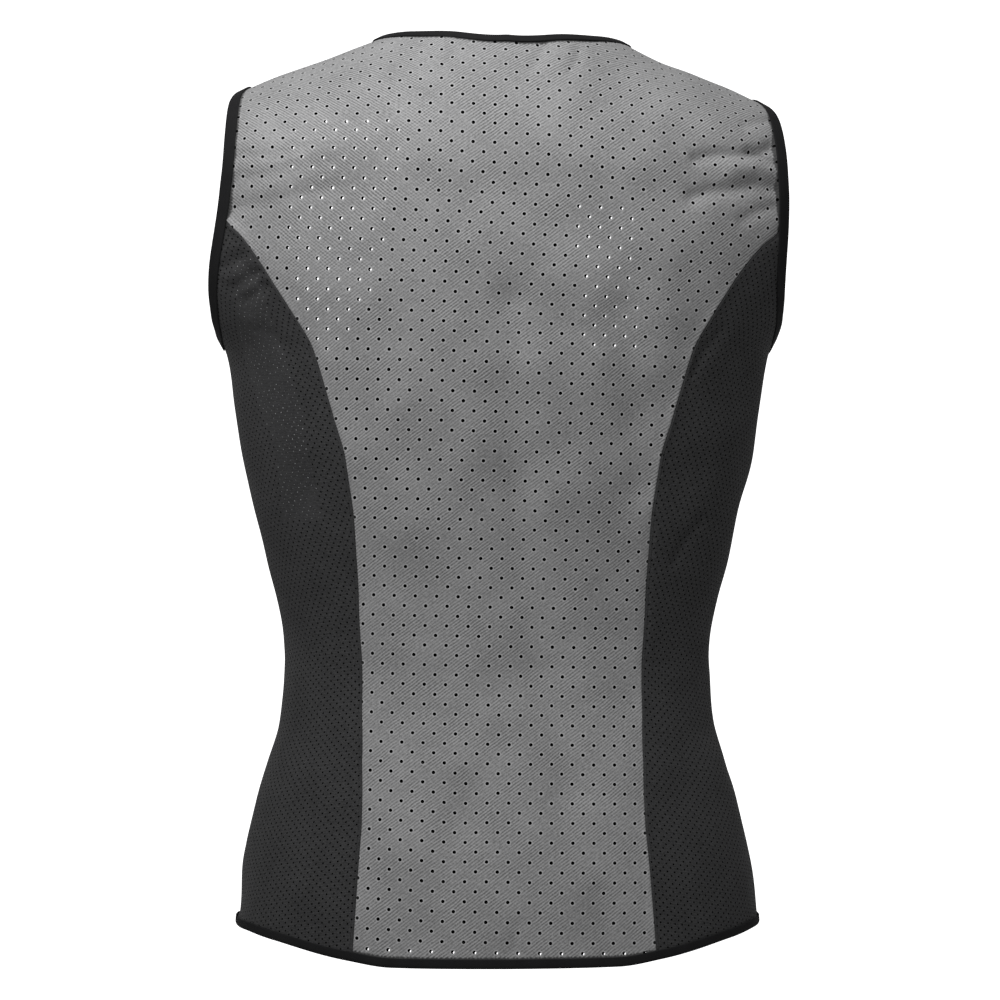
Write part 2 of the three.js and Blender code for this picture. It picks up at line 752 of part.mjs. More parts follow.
const rightArmLine = joinRuns(
  [
    stations(backGrid, armRun(backGrid, backColumns, backColumns - 1)).reverse(),
    stations(rightSideGrid, topRun(rightSideGrid)),
    stations(rightFrontGrid, armRun(rightFrontGrid, 0, 1)),
  ],
  true,
);
const leftArmLine = joinRuns(
  [
    stations(leftFrontGrid, armRun(leftFrontGrid, frontColumns, frontColumns - 1)).reverse(),
    stations(leftSideGrid, topRun(leftSideGrid)),
    stations(backGrid, armRun(backGrid, 0, 1)),
  ],
  true,
);
const neckLine = joinRuns(
  [
    stations(leftFrontGrid, topRun(leftFrontGrid)),
    stations(backGrid, topRun(backGrid)),
    stations(rightFrontGrid, topRun(rightFrontGrid)),
  ],
  false,
);
const hemRun = (grid) => stations(grid, rowCells(grid, 0, 1, 0, last(grid)));
const hemLine = joinRuns(
  [
    hemRun(leftFrontGrid),
    hemRun(leftSideGrid),
    hemRun(backGrid),
    hemRun(rightSideGrid),
    hemRun(rightFrontGrid),
  ],
  false,
);
for (const line of [neckLine, hemLine]) {
  const end = line.length - 1;
  line[0].along = new THREE.Vector3(-1, 0, 0);
  line[end].along = new THREE.Vector3(-1, 0, 0);
}

// Seam gaps
drawBack(backGrid, columnCells(backGrid, 0, 1, 0, SEAM_STEPS));
drawBack(backGrid, columnCells(backGrid, backColumns, backColumns - 1, 0, SEAM_STEPS));
drawBack(backGrid, columnCells(backGrid, 0, 1, armEnd, rows));
drawBack(backGrid, columnCells(backGrid, backColumns, backColumns - 1, armEnd, rows));
for (const grid of [rightSideGrid, leftSideGrid]) {
  drawBack(grid, columnCells(grid, 0, 1, 0, SEAM_STEPS));
  drawBack(grid, columnCells(grid, last(grid), last(grid) - 1, 0, SEAM_STEPS));
}
for (const [from, to] of [
  [0, SEAM_STEPS],
  [armEnd, rows],
]) {
  drawBack(rightFrontGrid, columnCells(rightFrontGrid, 0, 1, from, to));
  drawBack(
    leftFrontGrid,
    columnCells(leftFrontGrid, frontColumns, frontColumns - 1, from, to),
  );
}

// Zip, closed, from the hem binding's lower edge to the neck binding's upper edge
function zipStation(level, past) {
  const at = surface(180, level);
  const out = outward(180, level);
  const up = surface(180, Math.min(level + 1, 0)).sub(surface(180, level - 1)).normalize();
  at.addScaledVector(up, past);
  return { at, out, inside: new THREE.Vector3(1, 0, 0), along: up, slider: false };
}
const zipLine = [zipStation(hemFront, -(HEM_BAND - SLOT_DEPTH))];
const sliderTop = neckFront - SLIDER_DROP;
const sliderFoot = sliderTop - SLIDER_LENGTH;
for (const point of rightZipEdge) {
  if (point.level < sliderFoot - 4) {
    zipLine.push(zipStation(point.level, 0));
  }
}
zipLine.push(zipStation(sliderFoot - 0.5, 0));
zipLine.push({ ...zipStation(sliderFoot, 0), slider: true });
zipLine.push({ ...zipStation(sliderTop, 0), slider: true });
zipLine.push(zipStation(sliderTop + 0.5, 0));
zipLine.push(zipStation(neckFront, NECK_BAND - SLOT_DEPTH));

function zipSection(station) {
  const tape = ZIP_THICK / 2;
  const half = ZIP_WIDTH / 2;
  const raised = station.slider ? SLIDER_WIDTH / 2 : CHAIN_WIDTH / 2;
  const rise = tape + (station.slider ? SLIDER_RISE : CHAIN_RISE);
  return [
    { over: -half, rise: -tape },
    { over: half, rise: -tape },
    { over: half, rise: tape },
    { over: raised, rise: tape },
    { over: raised - 0.5, rise },
    { over: 0.5 - raised, rise },
    { over: -raised, rise: tape },
    { over: -half, rise: tape },
  ];
}

// Materials
const greyCloth = { color: 0x8a8a8a, roughness: 0.92, metalness: 0 };
const darkMesh = { color: 0x2c2c2e, roughness: 0.88, metalness: 0 };
const blackTape = { color: 0x151516, roughness: 0.8, metalness: 0 };
const blackZip = { color: 0x1a1a1b, roughness: 0.5, metalness: 0 };

const vest = new THREE.Group();

function add(name, geometry, look) {
  const mesh = new THREE.Mesh(geometry, new THREE.MeshStandardMaterial(look));
  mesh.name = name;
  vest.add(mesh);
}

add('back_panel', shell(backGrid, WALL), greyCloth);
add('front_panel_right', shell(rightFrontGrid, WALL), greyCloth);
add('front_panel_left', shell(leftFrontGrid, WALL), greyCloth);
add('side_panel_right', shell(rightSideGrid, WALL), darkMesh);
add('side_panel_left', shell(leftSideGrid, WALL), darkMesh);
const armSection = bindingSection(ARMHOLE_BAND);
add('armhole_binding_right', sweep(rightArmLine, () => armSection, true), blackTape);
add('armhole_binding_left', sweep(leftArmLine, () => armSection, true), blackTape);
const neckSection = bindingSection(NECK_BAND);
add('neck_binding', sweep(neckLine, () => neckSection, false), blackTape);
const hemSection = bindingSection(HEM_BAND);
add('hem_binding', sweep(hemLine, () => hemSection, false), blackTape);
add('front_zip', sweep(zipLine, zipSection, false), blackZip);

export default vest;
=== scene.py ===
"""Cooling vest seen from the back: perforated back and fronts, dark mesh side panels,
folded bindings round every edge, and a closed front zip, with its studio.

Metres. +Z up, +X the wearer's right, +Y the wearer's front. Every piece follows one worn
surface, Body, which takes a turn round the body and a level on it.
"""

import math

import bpy
import numpy as np
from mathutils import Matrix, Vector
from mathutils.geometry import delaunay_2d_cdt


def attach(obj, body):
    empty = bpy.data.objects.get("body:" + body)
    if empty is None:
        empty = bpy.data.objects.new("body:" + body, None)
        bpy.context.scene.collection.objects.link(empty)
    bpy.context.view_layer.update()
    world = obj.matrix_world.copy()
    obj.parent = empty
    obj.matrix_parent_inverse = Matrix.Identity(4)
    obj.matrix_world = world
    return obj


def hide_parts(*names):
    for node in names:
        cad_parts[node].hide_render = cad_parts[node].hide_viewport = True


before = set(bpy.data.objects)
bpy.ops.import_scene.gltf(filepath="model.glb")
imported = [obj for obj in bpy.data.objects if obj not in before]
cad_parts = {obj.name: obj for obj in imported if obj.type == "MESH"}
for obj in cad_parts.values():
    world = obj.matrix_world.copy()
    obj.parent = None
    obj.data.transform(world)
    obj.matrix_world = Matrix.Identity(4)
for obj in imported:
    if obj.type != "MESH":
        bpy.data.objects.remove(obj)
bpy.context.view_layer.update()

bl_info = {
    "name": "Cooling Vest",
    "version": (1, 0, 0),
    "blender": (4, 5, 0),
    "location": "View3D > Sidebar > Cooling Vest",
    "description": "Builds a perforated cooling vest in its worn shape and its studio",
    "category": "Object",
}

# Body sections. level: share of the back's length. half: share of the half-width.
# back and front: shares of the two depths.
SECTIONS = {
    "level": [
        -1.08, -1.01, -0.968, -0.931, -0.887, -0.842, -0.798, -0.753, -0.709, -0.687,
        -0.664, -0.62, -0.576, -0.531, -0.487, -0.442, -0.397, -0.362, -0.3445,
    ],
    "half": [
        0.972, 0.964, 0.956, 0.944, 0.922, 0.885, 0.841, 0.799, 0.779, 0.7765,
        0.782, 0.807, 0.846, 0.885, 0.922, 0.95, 0.972, 0.988, 1.0,
    ],
    "back": [
        1.08, 1.061, 1.039, 1.013, 0.965, 0.904, 0.843, 0.787, 0.748, 0.739,
        0.739, 0.757, 0.791, 0.83, 0.87, 0.909, 0.943, 0.97, 0.978,
    ],
    "front": [
        0.912, 0.903, 0.895, 0.891, 0.883, 0.867, 0.847, 0.827, 0.815, 0.81,
        0.815, 0.839, 0.879, 0.919, 0.96, 0.988, 1.0, 0.992, 0.98,
    ],
}

# Sections beside the armholes. level: share of the underarm's drop. half: share of the way
# from the half-width to the yoke's. back and front: shares of the two depths.
YOKE = {
    "level": [-0.978, -0.918, -0.834, -0.72, -0.62, -0.496, -0.3, 0.2],
    "half": [0.097, 0.303, 0.541, 0.768, 0.905, 1.0, 1.0, 1.0],
    "back": [0.983, 0.99, 0.996, 1.0, 0.996, 0.983, 0.965, 0.965],
    "front": [0.968, 0.948, 0.915, 0.867, 0.823, 0.766, 0.71, 0.71],
}

# Shoulder line inside the neck's ends. reach: share of the neck's half-width.
# rise: share of the neckline's depth at the back.
NAPE = {
    "reach": [0, 0.366, 0.732, 1],
    "rise": [0.329, 0.276, 0.118, -0.033],
}
# Shoulder line outside them. reach: share of the way to the yoke. fall: share of the slope.
SHOULDER = {
    "reach": [0.172, 0.391, 0.526, 0.649, 0.731, 1],
    "fall": [0.385, 0.691, 0.888, 1.112, 1.294, 2.06],
}

# Armhole edge, from the back's shoulder end under the arm to the front's shoulder end.
# turn: degrees from the centre of the back. level: share of the underarm's drop.
ARMHOLE = {
    "turn": [
        47.7, 50.1, 50.9, 51.7, 53.9, 56.9, 62.3, 69.3, 79.6, 90.2,
        100.8, 111.4, 119.3, 125.3, 128.6, 130.6, 131.1, 131.4, 132.3,
    ],
    "level": [
        0, -0.165, -0.331, -0.496, -0.62, -0.72, -0.834, -0.918, -0.978, -1,
        -0.978, -0.918, -0.834, -0.72, -0.62, -0.496, -0.331, -0.165, 0,
    ],
}
BACK_JOIN = 4
FRONT_JOIN = 14

# Seams beside the side panels. level: share of the back's length.
# back and front: degrees from the centre of the back and of the front.
SEAMS = {
    "level": [
        -1.01, -0.93, -0.872, -0.83, -0.788, -0.724, -0.66, -0.574, -0.51, -0.466,
        -0.4226, -0.38, -0.3367, -0.303, -0.2727, -0.2508, -0.2288, -0.2197, -0.2103,
    ],
    "back": [
        32.8, 32.4, 32.6, 33.7, 35.6, 38.0, 38.5, 36.3, 35.1, 35.3,
        37.1, 39.1, 41.2, 42.6, 44.6, 46.7, 49.8, 52.0, 53.9,
    ],
    "front": [
        34.6, 34.4, 34.6, 35.4, 36.8, 38.2, 38.4, 37.1, 36.6, 36.9,
        38.0, 39.4, 40.9, 42.4, 44.4, 46.2, 48.6, 49.9, 51.4,
    ],
}

# Cloth's lower edge. turn: degrees from the centre of the back. level: share of the length.
HEM = {
    "turn": [0, 24, 34, 55, 72, 92, 118, 150, 180],
    "level": [-1, -0.9995, -0.9935, -0.978, -0.9725, -0.9725, -0.977, -0.987, -0.99],
}

# Long soft folds of the back: the share of their depth, and the corners of each path as
# shares of the half-width, to the right, and of the back's length.
VALLEYS = [
    (1, [
        (0.02, -0.3), (0.045, -0.41), (0.078, -0.56), (0.115, -0.65), (0.168, -0.73), (0.22, -0.82),
    ]),
    (0.8, [(0.42, -0.31), (0.47, -0.42), (0.5, -0.49)]),
]

# Small creases seen from behind: depth inwards, half the crease's width, and its path.
CREASES = [
    (0.0016, 0.004, [
        (1.006, -0.122), (0.934, -0.132), (0.862, -0.137), (0.765, -0.138), (0.689, -0.143),
    ]),
    (0.0016, 0.005, [
        (1.009, -0.173), (0.912, -0.168), (0.829, -0.175), (0.736, -0.179), (0.675, -0.185),
    ]),
    (0.001, 0.003, [(1.002, -0.145), (0.937, -0.138), (0.887, -0.132)]),
    (0.0008, 0.003, [(0.994, -0.095), (0.922, -0.1), (0.871, -0.104)]),
    (0.0009, 0.004, [(0.991, -0.191), (0.919, -0.198), (0.858, -0.208)]),
    (-0.001, 0.005, [(0.991, -0.155), (0.909, -0.152), (0.811, -0.155)]),
    (0.00059, 0.004, [(-0.974, -0.137), (-0.881, -0.142), (-0.794, -0.14), (-0.715, -0.132)]),
    (0.00063, 0.005, [(-0.967, -0.165), (-0.852, -0.161), (-0.729, -0.153), (-0.621, -0.149)]),
    (0.00063, 0.005, [(-0.974, -0.195), (-0.859, -0.193), (-0.729, -0.182), (-0.603, -0.177)]),
    (0.00036, 0.004, [(-0.947, -0.111), (-0.867, -0.113), (-0.802, -0.109)]),
    (0.00054, 0.009, [(-0.711, -0.114), (-0.603, -0.109), (-0.496, -0.099)]),
    (0.0009, 0.0035, [(-0.173, -0.024), (-0.188, -0.032), (-0.209, -0.043)]),
    (0.0009, 0.0035, [(0.149, -0.021), (0.132, -0.031), (0.106, -0.045)]),
    (0.0009, 0.0035, [(0.275, -0.024), (0.268, -0.034), (0.239, -0.049)]),
    (0.0018, 0.014, [(-0.117, -0.822), (-0.178, -0.87), (-0.231, -0.918)]),
    (0.0008, 0.005, [(0.044, -0.959), (0.022, -0.985)]),
    (0.0008, 0.006, [(0.334, -0.927), (0.376, -0.985)]),
    (0.00049, 0.0035, [(-0.984, -0.246), (-0.926, -0.257), (-0.868, -0.279)]),
    (0.0004, 0.0035, [(-1.014, -0.273), (-0.956, -0.287), (-0.912, -0.306)]),
    (0.00036, 0.004, [(-0.868, -0.324), (-0.766, -0.346), (-0.708, -0.379)]),
    (0.0008, 0.0035, [(0.785, -0.325), (0.721, -0.349), (0.677, -0.373)]),
    (0.0008, 0.0035, [(0.719, -0.53), (0.661, -0.552), (0.617, -0.576)]),
    (0.0011, 0.004, [(-1.0, -0.258), (-0.97, -0.253), (-0.94, -0.246)]),
    (0.0012, 0.004, [(-0.955, -0.278), (-0.915, -0.271), (-0.868, -0.2626)]),
    (0.0011, 0.004, [(-0.911, -0.292), (-0.875, -0.2855), (-0.831, -0.277)]),
]

# Where the back's holes go right through both layers. Elsewhere the lining closes them.
# outline: corners as shares of the half-width and of the back's length.
# lined_up: the front has a hole behind each, so that the light of the room shows.
OPEN_HOLES = [
    {
        "outline": [
            (-0.77, -0.1), (-0.36, -0.1), (-0.37, -0.15), (-0.434, -0.24), (-0.463, -0.284),
            (-0.524, -0.317), (-0.56, -0.345), (-0.6, -0.36), (-0.77, -0.36),
        ],
        "lined_up": True,
    },
    {"outline": [(0.25, -0.19), (0.47, -0.19), (0.47, -0.35), (0.25, -0.35)], "lined_up": True},
    {"outline": [(-1, -0.978), (1, -0.99), (1, -1.05), (-1, -1.05)], "lined_up": False},
]
# Where light through the left side's mesh is painted on the floors of its holes, in the same shares.
LIT_MESH = [
    (-0.966, -0.25), (-0.947, -0.328), (-0.915, -0.366), (-0.875, -0.405), (-0.813, -0.448),
    (-0.784, -0.53), (-0.65, -0.53), (-0.664, -0.5), (-0.704, -0.448), (-0.722, -0.405),
    (-0.766, -0.366), (-0.813, -0.328), (-0.893, -0.25),
]

# The photograph's camera: degrees to the left, its distance, shift and height, and the width
# that it takes in at the side line.
CAMERA_TURN = 2.5
CAMERA_DISTANCE = 2.5
CAMERA_ASIDE = 0.00165
CAMERA_HEIGHT = -0.3023
VIEW_WIDTH = 0.66

# A section's superellipse has this power.
SQUARENESS = 2.3
# Heights, as shares of the underarm's drop, over which the shoulders lean and shift, and round
# which the armholes shift.
LEAN_SPAN = (-1.3, -0.3)
SHIFT_SPAN = (-0.95, -0.35)
ARM_SHIFT_LEVEL = -0.78
ARM_SHIFT_SPREAD = 0.16
# How much deeper the creases are made than in their table, and where one counts as deep.
CREASE_DEPTH = 1.8
CREASE_FOUND = -0.00012
# Degrees from the centre of the back over which the creases end.
CREASE_SPAN = (88, 98)
# Seeded waves of the cloth: how many, their shortest and longest, and height over length.
WAVES = 18
WAVE_SPAN = (0.022, 0.085)
WAVE_STEEPNESS = 0.0032

# Distances of the points along the panels' edges, inside them, in their creases, and along
# the bindings.
EDGE_PITCH = 0.0025
FILL_PITCH = 0.0034
FINE_PITCH = 0.0018
BINDING_PITCH = 0.0022
# Least distance of a point inside a panel from its edge, in pitches, and from a hole's middle,
# in the hole's radii.
FILL_MARGIN = 0.55
HOLE_CLEARANCE = 1.25
# At a seam the faces round towards each other over this width, on rows of points, and keep
# this share of their distance.
SEAM_ROUND = 0.0016
SEAM_EDGE = 0.25
SEAM_ROWS = (0.0004, 0.0009, 0.0014, 0.0018, 0.0022)
SEAM_FILL_GAP = 0.0008
# The relief fades out over these distances from a panel's edge.
RELIEF_SPAN = (0.0006, 0.005)
# A groove in the mesh beside its seams: way from the seam, half its width, and depth.
SEAM_LINE = 0.0018
SEAM_LINE_WIDTH = 0.0004
SEAM_LINE_DEPTH = 0.00035

# Tilt of the holes' lattices in radians, and the grey one's place.
HOLE_TILT = -0.02
HOLE_SHIFT = (0.0, 0.27)
MESH_TILT = 0.15
# Inner end of a half-shut hole, aside and up, in diameters.
HALF_MOON = (0.6, -0.25)
# How far such holes reach aside, as a share of the cloth's thickness.
SKEW_REACH = 0.8
# Least cloth between a hole and a panel's edge.
HOLE_MARGIN = 0.0006
# How near a front's own holes come to those that line up with the back's.
LINED_UP_GAP = 0.0075
# Size of a hole with a floor painted light against a dark one, and the depths of both as shares of
# the cloth's.
LIT_SIZE = 0.7
LIT_DEPTH = 0.1
DARK_DEPTH = 0.85

# Room between the cloth and a fold of tape.
TAPE_CLEARANCE = 0.00035
# Half the zip tape's thickness, and how far it goes on below and above the cloth.
ZIP_THICK = 0.0009
ZIP_BELOW = 0.003
ZIP_ABOVE = 0.004
SLIDER_WIDTH = 0.0085
SLIDER_LENGTH = 0.011
SLIDER_DROP = 0.009
SLIDER_SIDES = 40

# The grey cloth's ribs: degrees that they rise to the right, and their pitch.
RIB_ANGLE = 37
RIB_PITCH = 0.0018
# Painted shade in the hollows beside a binding: the pitch and height of its scallops, and the
# distances over which it ends.
CONTACT_SHADE_PITCH = 0.0028
CONTACT_SHADE_WAVE = 0.00035
CONTACT_SHADE_SPAN = (0.0036, 0.0049)
# Where the lights look: the vest's middle.
VEST_MIDDLE = (0.0, 0.0, -0.28)


def length(name, text, default):
    """A size in metres for the sidebar."""
    return bpy.props.FloatProperty(
        name=name,
        description=text,
        default=default,
        min=0.0,
        precision=5,
        unit="LENGTH",
        subtype="DISTANCE",
    )


def tone(name, text, default):
    """A colour for the sidebar, as linear red, green and blue."""
    return bpy.props.FloatVectorProperty(
        name=name,
        description=text,
        default=default,
        min=0.0,
        max=1.0,
        size=3,
        subtype="COLOR",
    )


class VestSizes(bpy.types.PropertyGroup):
    """Sizes of the vest's cut, cloth and bindings."""

    back_length: length("Back Length", "From the shoulders to the hem at the back", 0.594)
    underarm_drop: length("Underarm Drop", "From the shoulders to the armholes' foot", 0.2015)
    half_width: length("Half Width", "Half the width just below the armholes", 0.178)
    yoke_half: length("Yoke Half Width", "Half-width the shoulders aim for", 0.216)
    back_depth: length("Back Depth", "From the side line to the shoulder blades", 0.115)
    front_depth: length("Front Depth", "From the side line to the bust", 0.124)
    shoulder_round: length("Shoulder Round", "Height of the rounding shoulders", 0.1)
    neck_half: length("Neck Half Width", "Half the width of the neck", 0.082)
    neck_back: length("Back Neck Depth", "Neckline's distance behind the side line", 0.076)
    neck_drop: length("Front Neck Drop", "Fall of the neckline at the front", 0.07)
    shoulder_slope: length("Shoulder Slope", "Fall of the shoulder seam", 0.034)
    shoulder_shift: length("Shoulder Shift", "Shift of the shoulders to the right", 0.0029)
    arm_shift: length("Armhole Shift", "Shift of the armholes to the left", 0.0036)
    valley_depth: length("Valley Depth", "Depth of the back's long folds", 0.0032)
    valley_width: length("Valley Width", "Half-width of the back's long folds", 0.013)
    shoulder_lean: bpy.props.FloatProperty(
        name="Shoulder Lean",
        description="Fall of the right shoulder, per metre sideways",
        default=0.021,
    )
    wall: length("Cloth Thickness", "Thickness of the layered cloth", 0.002)
    seam_gap: length("Seam Gap", "Gap between two panels at a seam", 0.00005)
    tape: length("Tape Thickness", "Thickness of one fold of binding", 0.0008)
    slot_depth: length("Slot Depth", "Depth of the cloth's edge in a binding", 0.003)
    armhole_band: length("Armhole Binding", "Width of the armhole bindings", 0.0095)
    neck_band: length("Neck Binding", "Width of the neck binding", 0.007)
    hem_band: length("Hem Binding", "Width of the hem binding", 0.006)
    zip_width: length("Zip Width", "Width of the zip's tapes together", 0.012)
    hole: length("Hole Diameter", "Diameter of the grey cloth's holes", 0.0024)
    hole_across: length("Hole Pitch Across", "Holes' distance in a row", 0.01365)
    hole_up: length("Hole Pitch Up", "Distance of every second row", 0.0126)
    mesh_hole: length("Mesh Hole", "Diameter of the mesh's holes", 0.0013)
    mesh_pitch: length("Mesh Pitch", "Distance of the mesh's holes", 0.0036)


class VestColors(bpy.types.PropertyGroup):
    """Colours of the vest's cloths and tapes."""

    grey: tone("Grey Cloth", "Colour of the perforated cloth", (0.2, 0.2, 0.2015))
    lining: tone("Lining", "Colour of the cloth's inner layer", (0.004, 0.004, 0.004))
    mesh: tone("Dark Mesh", "Colour of the side panels", (0.034, 0.034, 0.0348))
    tape: tone("Binding Tape", "Colour of the bindings", (0.0115, 0.0115, 0.012))
    zip: tone("Zip", "Colour of the zip's tape", (0.016, 0.016, 0.017))


def curve_through(places, values):
    """Smooth curve through rows of numbers, without overshoot.

    Between two rows it is the cubic with tangents at both: in the middle the weighted
    harmonic mean of the slopes on either side, or zero where they differ in sign.
    """
    p = np.asarray(places, float)
    v = np.asarray(values, float)
    step = np.diff(p)
    slope = np.diff(v) / step
    before = 2 * step[1:] + step[:-1]
    after = step[1:] + 2 * step[:-1]
    same = slope[:-1] * slope[1:] > 0
    low = np.where(same, slope[:-1], 1.0)
    high = np.where(same, slope[1:], 1.0)
    middle = np.where(same, (before + after) / (before / low + after / high), 0.0)
    tangent = np.concatenate([slope[:1], middle, slope[-1:]])

    def curve(position):
        q = np.clip(position, p[0], p[-1])
        k = np.clip(np.searchsorted(p, q, side="right") - 1, 0, len(p) - 2)
        s = (q - p[k]) / step[k]
        return (
            (2 * s**3 - 3 * s**2 + 1) * v[k]
            + (s**3 - 2 * s**2 + s) * step[k] * tangent[k]
            + (3 * s**2 - 2 * s**3) * v[k + 1]
            + (s**3 - s**2) * step[k] * tangent[k + 1]
        )

    return curve


def ease(start, end, value):
    """Rises smoothly from 0 at start to 1 at end."""
    s = np.clip((value - start) / (end - start), 0, 1)
    return s * s * (3 - 2 * s)


def unit(vectors):
    """Vectors of length one in the same directions."""
    return vectors / np.maximum(np.linalg.norm(vectors, axis=-1, keepdims=True), 1e-12)


def way_along(points):
    """Distance along a line of points from its first to each of them."""
    return np.concatenate([[0], np.cumsum(np.linalg.norm(np.diff(points, axis=0), axis=1))])


def blocks(points):
    """Points in blocks of about 2000, so that tables of distances stay small."""
    return np.array_split(points, len(points) // 2000 + 1)


def quads(*corners):
    """Faces of four corners, from all first, second, third and fourth ones."""
    return np.stack(corners, -1).reshape(-1, 4)


class Body:
    """The worn surface that every piece follows, in the middle of the cloth."""

    def __init__(self, sizes):
        self.sizes = sizes
        level = np.array(SECTIONS["level"]) * sizes.back_length
        beside = np.array(YOKE["level"]) * sizes.underarm_drop
        kept = beside > level[-1] + 0.002
        levels = np.concatenate([level, beside[kept]])
        growth = sizes.yoke_half - sizes.half_width
        yoke_half = sizes.half_width + np.array(YOKE["half"]) * growth
        half = np.array(SECTIONS["half"]) * sizes.half_width
        self.half_width = curve_through(levels, np.concatenate([half, yoke_half[kept]]))
        back = np.concatenate([SECTIONS["back"], np.array(YOKE["back"])[kept]])
        front = np.concatenate([SECTIONS["front"], np.array(YOKE["front"])[kept]])
        self.back_depth = curve_through(levels, back * sizes.back_depth)
        self.front_depth = curve_through(levels, front * sizes.front_depth)
        reach = np.array(SHOULDER["reach"]) * (sizes.yoke_half - sizes.neck_half)
        self.ridge = curve_through(
            np.concatenate([np.array(NAPE["reach"]) * sizes.neck_half, sizes.neck_half + reach]),
            np.concatenate([
                np.array(NAPE["rise"]) * sizes.neck_back,
                np.array(SHOULDER["fall"]) * -sizes.shoulder_slope,
            ]),
        )
        seam_levels = np.array(SEAMS["level"]) * sizes.back_length
        self.seam_back = curve_through(seam_levels, SEAMS["back"])
        self.seam_front = curve_through(seam_levels, SEAMS["front"])
        self.hem = curve_through(HEM["turn"], np.array(HEM["level"]) * sizes.back_length)
        rows = np.arange(len(ARMHOLE["turn"]))
        self.arm_turn = curve_through(rows, ARMHOLE["turn"])
        self.arm_level = curve_through(rows, np.array(ARMHOLE["level"]) * sizes.underarm_drop)

    def from_path(self, path, x, z):
        """Distance from points seen from behind to a path of side and level shares."""
        side, level = np.array(path).T * [[self.sizes.half_width], [self.sizes.back_length]]
        near = np.full(np.broadcast(x, z).shape, np.inf)
        for i in range(len(side) - 1):
            dx = side[i + 1] - side[i]
            dz = level[i + 1] - level[i]
            share = ((x - side[i]) * dx + (z - level[i]) * dz) / (dx * dx + dz * dz)
            share = np.clip(share, 0, 1)
            away = np.hypot(x - side[i] - share * dx, z - level[i] - share * dz)
            near = np.minimum(near, away)
        return near

    def valleys(self, x, z):
        """Depth of the long folds: a bell curve of the distance to each fold's path."""
        s = self.sizes
        depth = np.zeros(np.broadcast(x, z).shape)
        for part, path in VALLEYS:
            share = self.from_path(path, x, z) / s.valley_width
            depth += part * s.valley_depth * np.exp(-(share**2))
        return depth

    def creases(self, points, turn):
        """Height of the small creases: each a bell curve of the distance to its path."""
        height = np.zeros(len(points))
        for depth, width, path in CREASES:
            share = self.from_path(path, points[:, 0], points[:, 2]) / width
            height -= CREASE_DEPTH * depth * np.exp(-(share**2))
        return height * (1 - ease(*CREASE_SPAN, np.abs(turn)))

    def relief(self, points, turn):
        """Height of the creases and of the cloth's soft unevenness, outwards.

        The unevenness is a sum of seeded waves in all directions, each less the shorter it is.
        """
        height = self.creases(points, turn)
        random = np.random.default_rng(7)
        for _ in range(WAVES):
            wave = random.uniform(*WAVE_SPAN)
            way = unit(random.normal(size=3))
            phase = random.uniform(0, 2 * np.pi)
            height += WAVE_STEEPNESS * wave * np.sin(points @ way * 2 * np.pi / wave + phase)
        return height

    def point(self, turn, level):
        """Points of the surface.

        A section at a level is a superellipse, the half-width across and the back's or the
        front's depth from front to back. From shoulder_round below the shoulders up, the
        level goes over the shoulder along a quarter of an ellipse to the shoulder line.
        """
        s = self.sizes
        turn, level = np.broadcast_arrays(np.asarray(turn, float), np.asarray(level, float))
        sine = np.sin(np.radians(turn))
        cosine = np.cos(np.radians(turn))
        n = SQUARENESS
        radius = (np.abs(sine) ** n + np.abs(cosine) ** n) ** (-1 / n)
        base = np.minimum(level, -s.shoulder_round)
        lift = np.clip(level / s.shoulder_round + 1, 0, 1) * np.pi / 2
        half = self.half_width(base)
        x = half * radius * sine
        depth = np.where(cosine >= 0, self.back_depth(base), self.front_depth(base))
        y = -depth * radius * cosine * np.cos(lift)
        over = (self.ridge(np.abs(x)) + s.shoulder_round) * np.sin(lift) - s.shoulder_round
        z = np.where(level <= -s.shoulder_round, level, over)
        y = y + np.where(cosine > 0, self.valleys(x, z) * ease(0, 0.5, cosine), 0)
        share = z / s.underarm_drop
        z = z - s.shoulder_lean * x * ease(*LEAN_SPAN, share)
        share = z / s.underarm_drop
        near = (share - ARM_SHIFT_LEVEL) / ARM_SHIFT_SPREAD
        side = np.abs(x / half) ** 3
        x = x + s.shoulder_shift * ease(*SHIFT_SPAN, share)
        x = x - s.arm_shift * side * np.exp(-(near**2))
        return np.stack([x, y, z], -1)

    def outward(self, turn, level):
        """Outward directions: the steps along the turn and up the level, crossed."""
        low = np.minimum(level, -0.001)
        along = self.point(turn + 0.2, level) - self.point(turn - 0.2, level)
        up = self.point(turn, np.minimum(low + 0.001, 0)) - self.point(turn, low - 0.001)
        return unit(np.cross(along, up))

    def turn_at(self, x, level):
        """Turn on the back where the section is a distance x from the centre."""
        base = np.minimum(level, -self.sizes.shoulder_round)
        share = np.minimum(np.abs(x) / self.half_width(base), 1)
        rest = (1 - share**SQUARENESS) ** (1 / SQUARENESS)
        return np.degrees(np.sign(x) * np.arctan2(share, rest))

    def spaced(self, curve, pitch):
        """Points (turn, level) at even distances along a curve that takes 0 to 1."""
        fine = np.linspace(0, 1, 2001)
        turn, level = curve(fine)
        lengths = way_along(self.point(turn, level))
        count = max(int(round(lengths[-1] / pitch)), 2)
        share = np.interp(np.linspace(0, lengths[-1], count + 1), lengths, fine)
        return np.stack(curve(share), -1)

    def armhole(self, start, end, pitch):
        """Right armhole edge between two rows of the table."""
        def curve(share):
            row = start + (end - start) * share
            return self.arm_turn(row), self.arm_level(row)
        return self.spaced(curve, pitch)

    def seam(self, front, pitch):
        """Right seam from the hem up to the armhole, beside the back or the front."""
        row = FRONT_JOIN if front else BACK_JOIN
        join_turn = float(self.arm_turn(row))
        join_level = float(self.arm_level(row))

        def turn_of(level):
            return 180 - self.seam_front(level) if front else self.seam_back(level)

        low = float(self.hem(turn_of(-self.sizes.back_length)))
        slip = join_turn - turn_of(join_level)

        def curve(share):
            level = low + (join_level - low) * share
            return turn_of(level) + slip * share**12, level

